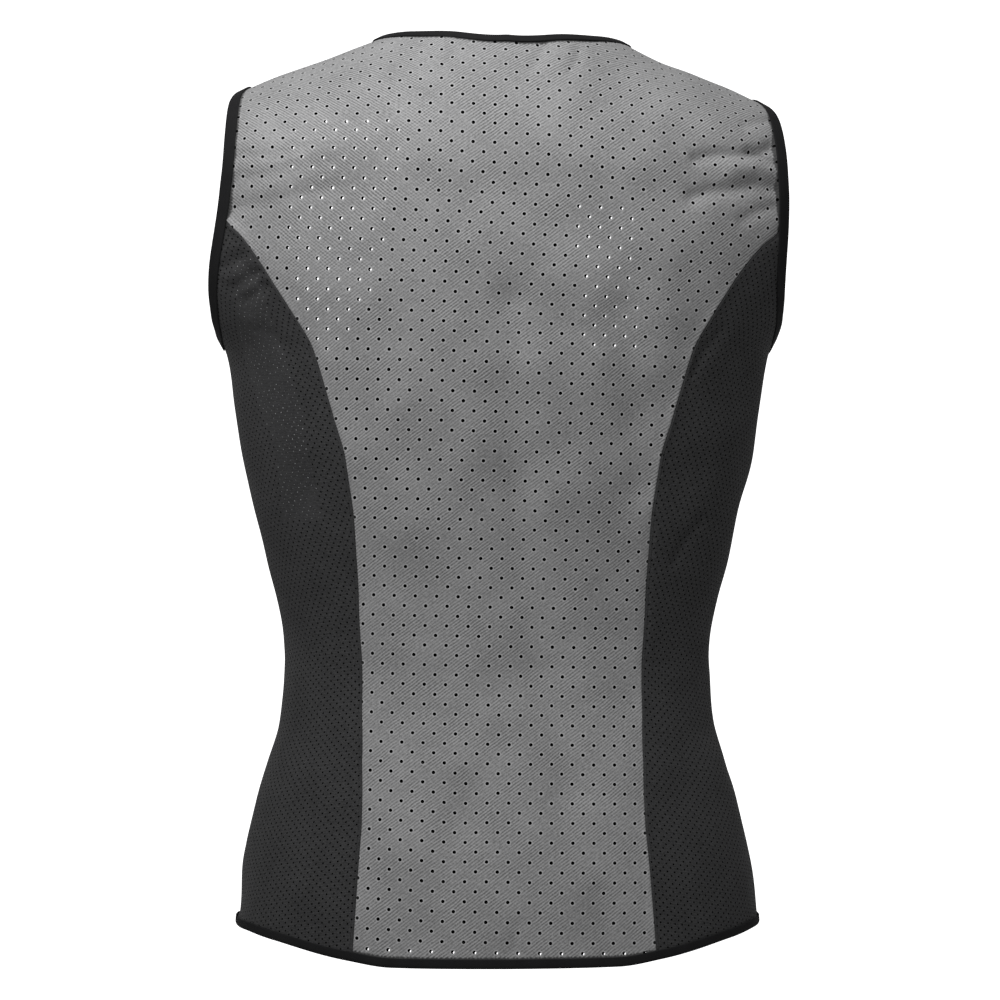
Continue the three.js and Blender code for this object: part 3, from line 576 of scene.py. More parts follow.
        return self.spaced(curve, pitch)

    def neck_back(self, pitch):
        """Back neckline from its right end to its left end: half an ellipse seen from above."""
        s = self.sizes

        def curve(share):
            angle = np.pi * share
            turn = self.turn_at(s.neck_half * np.cos(angle), 0.0)
            wide = -self.point(turn, -s.shoulder_round)[..., 1]
            deep = np.clip(s.neck_back * np.sin(angle) / wide, 0, 1)
            return turn, -s.shoulder_round * (1 - np.degrees(np.arccos(deep)) / 90)

        return self.spaced(curve, pitch)

    def zip_half(self):
        """Half the gap between the two fronts."""
        return self.sizes.zip_width / 2 + self.sizes.seam_gap

    def neck_front(self, pitch):
        """Right front neckline from the shoulder to the zip: a quarter of an ellipse."""
        s = self.sizes

        def curve(share):
            angle = np.pi / 2 * share
            x = self.zip_half() + (s.neck_half - self.zip_half()) * np.cos(angle)
            top = self.ridge(x)
            fall = (top + s.neck_drop) * np.sin(angle)
            rise = (top - fall + s.shoulder_round) / (top + s.shoulder_round)
            over = np.degrees(np.arcsin(np.clip(rise, 0, 1)))
            return 180 - self.turn_at(x, 0.0), -s.shoulder_round * (1 - over / 90)

        return self.spaced(curve, pitch)

    def shoulder(self, arm_end, neck_end, pitch):
        """Shoulder seam along the ridge, evenly sideways."""
        start = self.point(arm_end[0], 0.0)[0]
        end = self.point(neck_end[0], 0.0)[0]
        front = arm_end[0] > 90

        def curve(share):
            turn = self.turn_at(start + (end - start) * share, 0.0)
            return (180 - turn if front else turn), np.zeros_like(share)

        return self.spaced(curve, pitch)

    def hem_edge(self, start, end, pitch):
        """Lower edge of the cloth between two turns."""
        def curve(share):
            turn = start + (end - start) * share
            return turn, self.hem(np.abs(turn))
        return self.spaced(curve, pitch)

    def zip_edge(self, low, high, pitch):
        """Right front's edge beside the zip, upwards."""
        def curve(share):
            level = low + (high - low) * share
            return 180 - self.turn_at(self.zip_half(), level), level
        return self.spaced(curve, pitch)


def found(table, line, value):
    """Place of a value along given lines of a table whose lines all rise.

    The lines are set end to end, far apart, so that one sorted search serves them all.
    """
    far = 10.0
    wide = table.shape[1]
    lined = (table + far * np.arange(len(table))[:, None]).ravel()
    index = np.searchsorted(lined, value + far * line) - 1
    column = np.clip(index - line * wide, 0, wide - 2)
    low = table[line, column]
    high = table[line, column + 1]
    return column + (value - low) / (high - low)


def cell(place, count):
    """Whole and broken part of a place among a number of rows."""
    row = np.clip(place.astype(int), 0, count - 2)
    return row, place - row


class FlatCloth:
    """Flat coordinates of a panel: u along its levels from its middle, v up its height.

    v is measured along one line up to the rounding shoulders, and from there up every line
    by itself, so that the cloth isn't stretched over them.
    """

    def __init__(self, body, middle, measured, spread):
        half_turns = 160
        self.levels = np.linspace(-1.05 * body.sizes.back_length, 0, 420)
        self.turns = np.linspace(middle - spread, middle + spread, 2 * half_turns + 1)
        grid = body.point(self.turns[None, :], self.levels[:, None])
        across = np.linalg.norm(np.diff(grid, axis=1), axis=2)
        self.u = np.zeros(grid.shape[:2])
        self.u[:, 1:] = np.cumsum(across, axis=1)
        self.u -= self.u[:, half_turns:half_turns + 1]
        self.measured = way_along(body.point(measured, self.levels))
        first = int(np.searchsorted(self.levels, -body.sizes.shoulder_round))
        over = np.linalg.norm(np.diff(grid[first:], axis=0), axis=2)
        self.v = np.repeat(self.measured[:, None], len(self.turns), axis=1)
        self.v[first + 1:] = self.measured[first] + np.cumsum(over, axis=0)

    def lay(self, points):
        """Flat places of (turn, level) points."""
        rows = np.arange(len(self.levels))
        columns = np.arange(len(self.turns))
        row, share = cell(np.interp(points[:, 1], self.levels, rows), len(rows))
        column, part = cell(np.interp(points[:, 0], self.turns, columns), len(columns))
        result = []
        for table in (self.u, self.v):
            low = table[row, column] * (1 - part) + table[row, column + 1] * part
            high = table[row + 1, column] * (1 - part) + table[row + 1, column + 1] * part
            result.append(low * (1 - share) + high * share)
        return np.stack(result, -1)

    def wear(self, places):
        """(turn, level) of flat places, by turns along the levels and up the height."""
        rows, columns = self.u.shape
        upright = np.ascontiguousarray(self.v.T)
        level = np.interp(places[:, 1], self.measured, np.arange(rows))
        for _ in range(8):
            row, share = cell(level, rows)
            low = found(self.u, row, places[:, 0])
            high = found(self.u, row + 1, places[:, 0])
            turn = low * (1 - share) + high * share
            column, part = cell(np.clip(turn, 0, columns - 1.001), columns)
            low = found(upright, column, places[:, 1])
            high = found(upright, column + 1, places[:, 1])
            level = np.clip(low * (1 - part) + high * part, 0, rows - 1)
        turn = self.turns[0] + turn * (self.turns[1] - self.turns[0])
        return turn, self.levels[0] + level * (self.levels[1] - self.levels[0])


def nearest(points, line):
    """Distance from each flat point to the nearest point of a line of points."""
    result = []
    line = line.astype(np.float32)
    for block in blocks(points.astype(np.float32)):
        x = block[:, 0:1] - line[None, :, 0]
        y = block[:, 1:2] - line[None, :, 1]
        result.append(np.sqrt((x * x + y * y).min(1)))
    return np.concatenate(result)


def nearest_along(points, line):
    """Way along a line of points to the one nearest each flat point, and its distance."""
    way = way_along(line)
    result = []
    for block in blocks(points):
        far = ((block[:, None] - line[None]) ** 2).sum(-1)
        least = far.argmin(1)
        result.append(np.stack([way[least], np.sqrt(far[np.arange(len(block)), least])], -1))
    return np.concatenate(result)


def inside(points, loop):
    """Whether each flat point lies in a loop: a ray from it crosses it an odd number of times."""
    a = loop
    b = np.roll(loop, -1, axis=0)
    result = []
    for block in blocks(points):
        x = block[:, 0:1]
        y = block[:, 1:2]
        crosses = (a[:, 1] > y) != (b[:, 1] > y)
        rise = np.where(b[:, 1] == a[:, 1], 1.0, b[:, 1] - a[:, 1])
        at = a[:, 0] + (y - a[:, 1]) / rise * (b[:, 0] - a[:, 0])
        result.append((crosses & (x < at)).sum(1) % 2 == 1)
    return np.concatenate(result)


def lattice(loop, across, up, tilt, shift=(0.0, 0.0)):
    """Staggered lattice over a loop: rows up / 2 apart, every other one half a pitch aside."""
    reach = np.abs(loop - np.array(shift)).max() * 1.5
    columns = int(reach / across) + 1
    lines = int(2 * reach / up) + 1
    i, j = np.meshgrid(np.arange(-columns, columns + 1), np.arange(-lines, lines + 1))
    x = (i + 0.5 * (j % 2)) * across + shift[0]
    y = j * up / 2 + shift[1]
    cosine, sine = math.cos(tilt), math.sin(tilt)
    turned = np.stack([x * cosine - y * sine, x * sine + y * cosine], -1).reshape(-1, 2)
    return turned[inside(turned, loop)]


def mesh_object(name, points, faces, uv, materials, face_material=None, edge=None):
    """A mesh object at the origin, from points, faces of three or more corners and a UV map.

    edge is a second map: the way along the bound edge and the distance from it.
    """
    mesh = bpy.data.meshes.new(name)
    sizes = np.concatenate([np.full(len(f), f.shape[1]) for f in faces])
    corners = np.concatenate([f.ravel() for f in faces]).astype(np.int32)
    mesh.vertices.add(len(points))
    mesh.vertices.foreach_set("co", np.asarray(points, np.float32).ravel())
    mesh.loops.add(len(corners))
    mesh.loops.foreach_set("vertex_index", corners)
    mesh.polygons.add(len(sizes))
    starts = np.concatenate([[0], np.cumsum(sizes)[:-1]]).astype(np.int32)
    mesh.polygons.foreach_set("loop_start", starts)
    layer = mesh.uv_layers.new(name="cloth")
    layer.data.foreach_set("uv", np.asarray(uv, np.float32)[corners].ravel())
    if edge is not None:
        layer = mesh.uv_layers.new(name="edge")
        layer.data.foreach_set("uv", np.asarray(edge, np.float32)[corners].ravel())
    for material in materials:
        mesh.materials.append(material)
    if face_material is not None:
        mesh.polygons.foreach_set("material_index", face_material.astype(np.int32))
    mesh.update(calc_edges=True)
    mesh.validate()
    mesh.polygons.foreach_set("use_smooth", np.ones(len(sizes), bool))
    mesh.set_sharp_from_angle(angle=math.radians(35))
    piece = bpy.data.objects.new(name, mesh)
    bpy.context.scene.collection.objects.link(piece)
    return piece


def filling(border, dense, pitch, more):
    """A square lattice of points inside a border, and not close to it."""
    low, high = border.min(0), border.max(0)
    x, y = np.meshgrid(np.arange(low[0], high[0], pitch), np.arange(low[1], high[1], pitch))
    fill = np.stack([x, y], -1).reshape(-1, 2)
    fill = fill[inside(fill, border)]
    return fill[nearest(fill, dense) > FILL_MARGIN * pitch + more]


def creased(body, flat, places):
    """Which flat places lie in a crease."""
    turn, level = flat.wear(places)
    return body.creases(body.point(turn, level), turn) < CREASE_FOUND


def inset(line, depth):
    """A flat line moved to its left, into the panel."""
    along = unit(np.gradient(line, axis=0))
    return line + np.stack([-along[:, 1], along[:, 0]], -1) * depth


def triangulated(name, border, given, ring):
    """Triangles between flat points, inside the border and with the rings' sides as edges.

    The border's points come first. Returns the points, with any that crossing sides add.
    """
    edges = []
    if ring is not None:
        edges = np.stack([ring, np.roll(ring, -1, 1)], -1).reshape(-1, 2).tolist()
    result = delaunay_2d_cdt(
        given.tolist(), edges, [list(range(len(border)))], 1, 1e-7, False
    )
    points = np.array(result[0], float).reshape(-1, 2)
    triangles = np.array(result[2], int).reshape(-1, 3)
    if np.abs(points[: len(given)] - given).max() > 1e-5:
        raise RuntimeError(f"{name}: the cloth's points did not keep their order")
    triangles = triangles[inside(points[triangles].mean(1), border)]
    return points, triangles


def open_edges(triangles):
    """The triangles' sides that no neighbour shares, in the triangles' own order."""
    sides = np.concatenate([triangles[:, [0, 1]], triangles[:, [1, 2]], triangles[:, [2, 0]]])
    many = int(triangles.max()) + 1
    there = sides[:, 0] * many + sides[:, 1]
    back = sides[:, 1] * many + sides[:, 0]
    return sides[~np.isin(there, back)]


def panel(name, body, flat, edges, holes, hole_sides, hole_radius, materials, is_mesh):
    """A cloth panel with its holes cut, two faces and the walls between them.

    The panel's loop, its holes' rings and a lattice of points between them are laid out in
    flat cloth coordinates and triangulated there. Each point then goes to the worn surface,
    plus the relief, and half the cloth's thickness out and in. At a seam the two faces
    round towards each other. Mesh has no points between its holes, and a fold by its seams.
    """
    s = body.sizes
    loop = []
    for points, is_seam in edges:
        line = flat.lay(points)
        if is_seam:
            line = inset(line, s.seam_gap / 2)
        loop.append(line[:-1])
    seams = [line for line, (_, is_seam) in zip(loop, edges) if is_seam]
    bound = np.concatenate([line for line, (_, is_seam) in zip(loop, edges) if not is_seam])
    border = np.concatenate(loop)
    seam_line = np.concatenate(seams) if seams else border[:0]
    step = np.roll(border, -1, 0) - border
    dense = np.concatenate([border + step * share for share in (0, 0.25, 0.5, 0.75)])

    kept = inside(holes.centres, border)
    kept &= nearest(holes.centres, dense) > hole_radius + HOLE_MARGIN
    holes.keep(kept)
    centres = holes.centres
    angle = np.arange(hole_sides) / hole_sides * 2 * np.pi
    circle = np.stack([np.cos(angle), np.sin(angle)], -1) * hole_radius
    narrow = np.where(holes.lit, LIT_SIZE, 1.0)[:, None, None]
    rings = (centres[:, None, :] + circle[None] * narrow).reshape(-1, 2)

    rows = [inset(line, depth)[1:-1] for depth in SEAM_ROWS for line in seams]
    rows = np.concatenate(rows) if rows else border[:0]
    rows = rows[inside(rows, border)]
    rows = rows[nearest(rows, dense) > 0.00034]
    gap = SEAM_FILL_GAP if seams else 0.0
    fill = filling(border, dense, FILL_PITCH, gap)
    fine = filling(border, dense, FINE_PITCH, gap)
    fill = np.concatenate([fill[~creased(body, flat, fill)], fine[creased(body, flat, fine)]])
    extra = rows if is_mesh else np.concatenate([rows, fill])
    extra = extra[nearest(extra, centres) > hole_radius * HOLE_CLEARANCE]
    if holes.is_open.any():
        skewed = centres[holes.is_open]
        extra = extra[nearest(extra, skewed) > hole_radius + s.wall * SKEW_REACH]

    given = np.concatenate([border, rings, extra])
    ring = len(border) + np.arange(len(rings)).reshape(-1, hole_sides)
    given, triangles = triangulated(name, border, given, ring)
    group = np.full(len(given), -1)
    group[ring.ravel()] = np.repeat(np.arange(len(centres)), hole_sides)
    owner = group[triangles]
    in_hole = (owner[:, 0] >= 0) & (owner[:, 0] == owner[:, 1]) & (owner[:, 0] == owner[:, 2])
    triangles = triangles[~in_hole]
    if holes.is_open.any():
        back_given, back_triangles = given, triangles
    else:
        back_fill = filling(border, dense, FILL_PITCH * 1.6, SEAM_FILL_GAP)
        back_given, back_triangles = triangulated(
            name, border, np.concatenate([border, rows, back_fill]), None
        )

    def laid(places):
        """Where flat places come to lie: the cloth's middle, the way out, half its thickness."""
        turn, level = flat.wear(places)
        middle = body.point(turn, level)
        out = body.outward(turn, level)
        height = body.relief(middle, turn) * ease(*RELIEF_SPAN, nearest(places, dense))
        half = np.full(len(places), s.wall / 2)
        if len(seam_line):
            off = nearest(places, seam_line)
            if is_mesh:
                line = np.abs(off - SEAM_LINE) / SEAM_LINE_WIDTH
                height = height - SEAM_LINE_DEPTH * np.clip(1 - line, 0, 1)
            near = np.minimum(off / SEAM_ROUND, 1)
            half = half * (SEAM_EDGE + (1 - SEAM_EDGE) * np.sqrt(1 - (1 - near) ** 2))
        return middle + out * height[:, None], out, half

    middle, out, half = laid(given)
    outer = middle + out * half[:, None]
    back_middle, back_out, back_half = laid(back_given)
    inner = back_middle - back_out * back_half[:, None]
    if holes.is_open.any():
        skew = ring[holes.is_open].ravel()
        way = unit(outer[skew] - np.array(camera_place()))
        along = (way * out[skew]).sum(-1, keepdims=True)
        half_shut = np.repeat(~holes.lined_up[holes.is_open], hole_sides)[:, None]
        turn = math.radians(CAMERA_TURN)
        right = np.array([math.cos(turn), -math.sin(turn), 0.0])
        up = np.array([0.0, 0.0, 1.0])
        aside = 2 * hole_radius * (HALF_MOON[0] * right + HALF_MOON[1] * up)
        inner[skew] = outer[skew] - way * s.wall / along + half_shut * aside
    count = len(given)
    step = np.arange(len(border))
    rim = np.stack([step, np.roll(step, -1)], -1)
    if holes.is_open.any():
        rim = open_edges(triangles)
        rim = rim[(group[rim[:, 0]] < 0) | (group[rim[:, 0]] != group[rim[:, 1]])]
    wall = quads(rim[:, 0] + count, rim[:, 1] + count, rim[:, 1], rim[:, 0])
    ring_after = np.roll(ring, -1, 1)
    through = ring[holes.is_open]
    through_after = ring_after[holes.is_open]
    blind = ring[~holes.is_open]
    blind_after = ring_after[~holes.is_open]
    floor = count + len(back_given) + np.arange(blind.size).reshape(blind.shape)
    # Lit holes get a shallow floor in the third material, which is painted light seen through the
    # mesh.
    lit = holes.lit[~holes.is_open]
    depth = np.repeat(np.where(lit, LIT_DEPTH, DARK_DEPTH), hole_sides)[:, None] * s.wall
    floor_points = outer[blind.ravel()] - out[blind.ravel()] * depth
    floor_after = np.roll(floor, -1, 1)
    faces = [
        triangles,
        back_triangles[:, ::-1] + count,
        wall,
        quads(through, through_after, through_after + count, through + count),
        quads(blind, blind_after, floor_after, floor),
        floor[~lit],
        floor[lit],
    ]
    kinds = [0, 1, 0, 1, 1, 1, 2]
    if holes.is_open.any():
        faces.append(blind[:, ::-1] + count)
        kinds.append(1)
    face_material = np.concatenate([np.full(len(f), k) for f, k in zip(faces, kinds)])
    uv = np.concatenate([given, back_given, given[blind.ravel()]])
    points = np.concatenate([outer, inner, floor_points])
    # Way along the bound edge and distance from it, which place the painted shade beside the
    # bindings.
    edge = nearest_along(given, bound)
    edge = np.concatenate([edge, np.ones((len(points) - len(given), 2))])
    piece = mesh_object(name, points, faces, uv, materials, face_material, edge)
    first, second, third = (middle[triangles[:, k]] for k in range(3))
    area = np.linalg.norm(np.cross(second - first, third - first), axis=1)
    piece["cloth_area"] = float(area.sum() / 2)
    piece["flat_size"] = [float(v) for v in border.max(0) - border.min(0)]
    return piece


class Holes:
    """Holes' centres in flat cloth coordinates, and what each of them is.

    is_open: it goes right through. lined_up: it follows the camera's way, to a hole behind
    it. lit: its floor is painted light, for light seen through the mesh.
    """

    def __init__(self, centres):
        self.centres = centres
        self.is_open = np.zeros(len(centres), bool)
        self.lined_up = np.zeros(len(centres), bool)
        self.lit = np.zeros(len(centres), bool)

    def keep(self, kept):
        """Only some of the holes."""
        self.centres = self.centres[kept]
        self.is_open = self.is_open[kept]
        self.lined_up = self.lined_up[kept]
        self.lit = self.lit[kept]


def shares(body, flat, centres):
    """Flat places as shares of the half-width and of the back's length, and which are behind."""
    points = body.point(*flat.wear(centres))
    whole = np.array([body.sizes.half_width, body.sizes.back_length])
    return points[:, ::2] / whole, points[:, 1] < 0


def back_holes(body, flat, centres):
    """The back's holes: through in some parts, and lined up with the front's in two."""
    holes = Holes(centres)
    place = shares(body, flat, centres)[0]
    for zone in OPEN_HOLES:
        within = inside(place, np.array(zone["outline"], float))
        holes.is_open |= within
        holes.lined_up |= within & zone["lined_up"]
    return holes


def mesh_holes(body, flat, centres):
    """The mesh's holes: blind, and some of the left side's with a floor painted light, for light seen
    through.
    """
    holes = Holes(centres)
    place, is_behind = shares(body, flat, centres)
    holes.lit = inside(place, np.array(LIT_MESH)) & is_behind
    return holes


def camera_place():
    """The photograph's camera: level with the vest's middle, a little to the left."""
    turn = math.radians(CAMERA_TURN)
    return (
        -CAMERA_DISTANCE * math.sin(turn) + CAMERA_ASIDE * math.cos(turn),
        -CAMERA_DISTANCE * math.cos(turn) - CAMERA_ASIDE * math.sin(turn),
        CAMERA_HEIGHT,
    )


def seen(points):
    """Where the camera sees points: aside and up, over their distance."""
    way = points - np.array(camera_place())
    turn = math.radians(CAMERA_TURN)
    deep = way[:, 0] * math.sin(turn) + way[:, 1] * math.cos(turn)
    aside = way[:, 0] * math.cos(turn) - way[:, 1] * math.sin(turn)
    return np.stack([aside / deep, way[:, 2] / deep], -1)


def behind(body, points, aside):
    """(turn, level) on the front of what the camera sees a little aside of the back's points.

    Newton's steps, from the places straight behind, with slopes from small steps each way.
    """
    goal = seen(points) + np.array(aside) / CAMERA_DISTANCE
    x, z = points[:, 0], points[:, 2]
    turn = 180 - body.turn_at(x, -body.sizes.shoulder_round)
    level = np.minimum(z, -0.03)
    turn_step, level_step = 0.1, -0.0005
    for _ in range(12):
        here = seen(body.point(turn, level))
        by_turn = (seen(body.point(turn + turn_step, level)) - here) / turn_step
        by_level = (seen(body.point(turn, level + level_step)) - here) / level_step
        miss = goal - here
        cross = by_turn[:, 0] * by_level[:, 1] - by_turn[:, 1] * by_level[:, 0]
        more_turn = (miss[:, 0] * by_level[:, 1] - miss[:, 1] * by_level[:, 0]) / cross
        more_level = (by_turn[:, 0] * miss[:, 1] - by_turn[:, 1] * miss[:, 0]) / cross
        turn = turn + np.clip(more_turn, -8, 8)
        level = np.clip(level + np.clip(more_level, -0.03, 0.03), -0.5, -0.002)
    return np.stack([turn, level], -1)


def front_holes(flat, centres, lined):
    """The front's holes: its own lattice, and instead of it the lined-up ones where they are."""
    lined = flat.lay(lined)
    own_ones = centres[nearest(centres, lined) > LINED_UP_GAP]
    holes = Holes(np.concatenate([own_ones, lined]))
    holes.is_open[len(own_ones):] = True
    holes.lined_up[len(own_ones):] = True
    return holes


def mirrored(points):
    """The same points on the left half, in the other order."""
    return points[::-1] * np.array([-1.0, 1.0])


def panel_edges(body, pitch):
    """Each panel's loop of edges, anticlockwise seen from outside, with whether it is a seam."""
    seam_back = body.seam(False, pitch)
    seam_front = body.seam(True, pitch)
    arm_back = body.armhole(BACK_JOIN, 0, pitch)
    arm_front = body.armhole(FRONT_JOIN, len(ARMHOLE["turn"]) - 1, pitch)
    underarm = body.armhole(BACK_JOIN, FRONT_JOIN, pitch)
    neck = body.neck_back(pitch)
    neck_front = body.neck_front(pitch)
    shoulder_back = body.shoulder(arm_back[-1], neck[0], pitch)
    shoulder_front = body.shoulder(arm_front[-1], neck_front[0], pitch)
    hem_back = body.hem_edge(-seam_back[0, 0], seam_back[0, 0], pitch)
    hem_side = body.hem_edge(seam_back[0, 0], seam_front[0, 0], pitch)
    low = float(body.hem(180.0))
    zip_line = body.zip_edge(low, neck_front[-1, 1], pitch)
    hem_front = body.hem_edge(seam_front[0, 0], zip_line[0, 0], pitch)
    back = [
        (hem_back, False),
        (seam_back, True),
        (arm_back, False),
        (shoulder_back, True),
        (neck, False),
        (mirrored(shoulder_back), True),
        (mirrored(arm_back), False),
        (mirrored(seam_back), True),
    ]
    side = [
        (hem_side, False),
        (seam_front, True),
        (underarm[::-1], False),
        (seam_back[::-1], True),
    ]
    front = [
        (hem_front, False),
        (zip_line, False),
        (neck_front[::-1], False),
        (shoulder_front[::-1], True),
        (arm_front[::-1], False),
        (seam_front[::-1], True),
    ]
    return {"back": back, "side": side, "front": front}


def mirrored_edges(edges):
    """The same loop on the left half."""
    return [(mirrored(points), is_seam) for points, is_seam in reversed(edges)]


class Nodes:
    """A material's node tree, with short ways to add and join nodes."""

    def __init__(self, name):
        self.material = bpy.data.materials.new(name)
        self.material.use_nodes = True
        self.tree = self.material.node_tree
        self.shader = self.tree.nodes["Principled BSDF"]
        self.output = self.tree.nodes["Material Output"]

    def add(self, kind, inputs=None, **settings):
        """A node of a kind. inputs: values or sockets by the input's name or number."""
        node = self.tree.nodes.new(kind)
        for key, value in settings.items():
            setattr(node, key, value)
        for key, value in (inputs or {}).items():
            self.give(node.inputs[key], value)
        return node

    def give(self, socket, value):
        """Joins a socket to another, or sets its value."""
        if isinstance(value, bpy.types.NodeSocket):
            self.tree.links.new(value, socket)
        else:
            socket.default_value = value

    def math(self, operation, a, b=0.0, c=0.0):
        """One sum or product of two or three values."""
        return self.add("ShaderNodeMath", {0: a, 1: b, 2: c}, operation=operation).outputs[0]

    def between(self, value, low, high, to_low=0.0, to_high=1.0):
        """The value's share of low to high, eased, as to_low to to_high."""
        return self.add(
            "ShaderNodeMapRange",
            {"Value": value, "From Min": low, "From Max": high, "To Min": to_low, "To Max": to_high},
            interpolation_type="SMOOTHSTEP",
        ).outputs[0]

    def noise(self, place, scale, detail=3.0, rough=0.55):
        """Noise from 0 to 1 at a place."""
        return self.add(
            "ShaderNodeTexNoise",
            {"Vector": place, "Scale": scale, "Detail": detail, "Roughness": rough},
        ).outputs["Fac"]

    def mixed(self, share, first, second):
        """A colour between two."""
        node = self.add("ShaderNodeMix", data_type="RGBA")
        self.give(node.inputs[0], share)
        self.give(node.inputs[6], first)
        self.give(node.inputs[7], second)
        return node.outputs[2]

    def total(self, *parts):
        """Sum of values, each times its weight."""
        terms = [self.math("MULTIPLY", value, weight) for value, weight in parts]
        result = terms[0]
        for term in terms[1:]:
            result = self.math("ADD", result, term)
        return result

    def stripes(self, value, pitch):
        """Waves of a pitch along a value, from -1 to 1."""
        return self.math("SINE", self.math("MULTIPLY", value, 2 * math.pi / pitch))

    def uv(self):
        """The piece's flat coordinates in metres, across and up."""
        place = self.add("ShaderNodeUVMap", uv_map="cloth").outputs[0]
        parts = self.add("ShaderNodeSeparateXYZ", {0: place})
        return place, parts.outputs[0], parts.outputs[1]

    def bump(self, height, strength, distance):
        """The shader's normals from a height."""
        inputs = {"Height": height, "Strength": strength, "Distance": distance}
        self.give(self.shader.inputs["Normal"], self.add("ShaderNodeBump", inputs).outputs[0])

    def surface(self, color, rough, shine, sheen=0.0, sheen_rough=0.5):
        """The shader's colour and its constants. Returns the material."""
        for key, value in {
            "Base Color": color,
            "Roughness": rough,
            "Specular IOR Level": shine,
            "Sheen Weight": sheen,
            "Sheen Roughness": sheen_rough,
        }.items():
            self.give(self.shader.inputs[key], value)
        return self.material


def rim_highlights_and_holes(n, u, v, sizes):
    """Masks for a painted highlight round the holes of the cloth's staggered lattice, and for the
    holes.

    The first is 1 at a rim and fades to 0 a millimetre outside it. The second is 1 in a hole.
    """
    cosine, sine = math.cos(HOLE_TILT), math.sin(HOLE_TILT)
    x = n.math("ADD", n.math("MULTIPLY", u, cosine), n.math("MULTIPLY", v, sine))
    y = n.math("SUBTRACT", n.math("MULTIPLY", v, cosine), n.math("MULTIPLY", u, sine))
    x = n.math("SUBTRACT", x, HOLE_SHIFT[0])
    y = n.math("SUBTRACT", y, HOLE_SHIFT[1])
    near = None
    for share in (0.5, 0.0):
        aside = []
        for value, pitch in ((x, sizes.hole_across), (y, sizes.hole_up)):
            place = n.math("ADD", n.math("DIVIDE", value, pitch), share + 20.0)
            off = n.math("SUBTRACT", n.math("FRACT", place), 0.5)
            aside.append(n.math("POWER", n.math("ABSOLUTE", n.math("MULTIPLY", off, pitch)), 2.0))
        far = n.math("SQRT", n.math("ADD", aside[0], aside[1]))
        near = far if near is None else n.math("MINIMUM", near, far)
    rim = sizes.hole / 2
    # Mask of the painted highlight on the rim round each hole.
    rim_highlight = n.between(near, rim, rim + 0.0011, 1.0, 0.0)
    return rim_highlight, n.between(near, rim * 0.85, rim, 1.0, 0.0)


def rgb(color, factor=1.0):
    """A colour of the sidebar as red, green, blue and alpha, darker or lighter."""
    return tuple(min(part * factor, 1.0) for part in color) + (1.0,)


def binding_contact_shade(n):
    """Mask of painted shade: 1 in the small hollows where the cloth goes into a binding, 0 further
    in.
    """
    parts = n.add("ShaderNodeSeparateXYZ", {0: n.add("ShaderNodeUVMap", uv_map="edge").outputs[0]})
    wave = n.stripes(parts.outputs[0], CONTACT_SHADE_PITCH)
    inward = n.math("ADD", parts.outputs[1], n.math("MULTIPLY", wave, CONTACT_SHADE_WAVE))
    return n.between(inward, *CONTACT_SHADE_SPAN, 1.0, 0.0)


def grey_cloth(name, sizes, colors, rim_highlight):
    """Perforated cloth: fine ribs, rising, and falling towards the left shoulder, a felted
    grain, a cloudy tone and a painted highlight that lightens the rim round each hole."""
    n = Nodes(name)
    place, u, v = n.uv()
    cosine, sine = math.cos(math.radians(RIB_ANGLE)), math.sin(math.radians(RIB_ANGLE))
    sway = n.math("MULTIPLY", n.noise(place, 130.0), 0.0012)
    up = n.math("ADD", n.math("MULTIPLY", v, cosine), sway)
    aside = n.math("MULTIPLY", u, sine)
    rising = n.math("SUBTRACT", up, aside)
    falling = n.math("ADD", up, aside)
    rib = n.stripes(rising, RIB_PITCH)
    cross = n.stripes(falling, RIB_PITCH)
    left = n.math("MULTIPLY", n.between(u, -0.02, -0.09), n.between(v, 0.44, 0.52))
    rib = n.math("MULTIPLY", rib, n.math("SUBTRACT", 1.0, n.math("MULTIPLY", left, 0.75)))
    cross = n.math("MULTIPLY", cross, n.math("ADD", 0.18, n.math("MULTIPLY", left, 0.8)))
    ribs = n.math("ADD", rib, cross)
    patchy = n.between(n.noise(place, 55.0, 2.0), 0.3, 0.7, 0.35, 1.0)
    ribs = n.math("MULTIPLY", ribs, patchy)
    fuzz = n.noise(place, 2100.0, 2.0, 0.7)
    soft = n.noise(place, 520.0, 3.0, 0.6)
    cloud = n.noise(place, 24.0, 4.0, 0.6)
    rim, hole = rim_highlights_and_holes(n, u, v, sizes)
    shade = n.total((ribs, 0.105), (fuzz, 0.42), (soft, 0.26), (cloud, 0.16))
    share = n.between(shade, 0.22, 0.62)
    color = n.mixed(share, rgb(colors.grey, 0.42), rgb(colors.grey, 1.58))
    if rim_highlight:
        # Painted highlight: the rim round each hole is made lighter, as where light catches it.
        color = n.mixed(n.math("MULTIPLY", rim, rim_highlight), color, rgb(colors.grey, 1.7))
        color = n.mixed(hole, color, rgb(colors.lining))
    # Painted shade: the cloth darkens in scallops next to the bindings, where they shade it.
    color = n.mixed(n.math("MULTIPLY", binding_contact_shade(n), 0.85), color, rgb(colors.grey, 0.12))
    n.bump(n.total((ribs, 0.5), (fuzz, 1.2), (soft, 0.9)), 0.3, 0.0004)
    return n.surface(color, 0.95, 0.08, 0.06, 0.6)


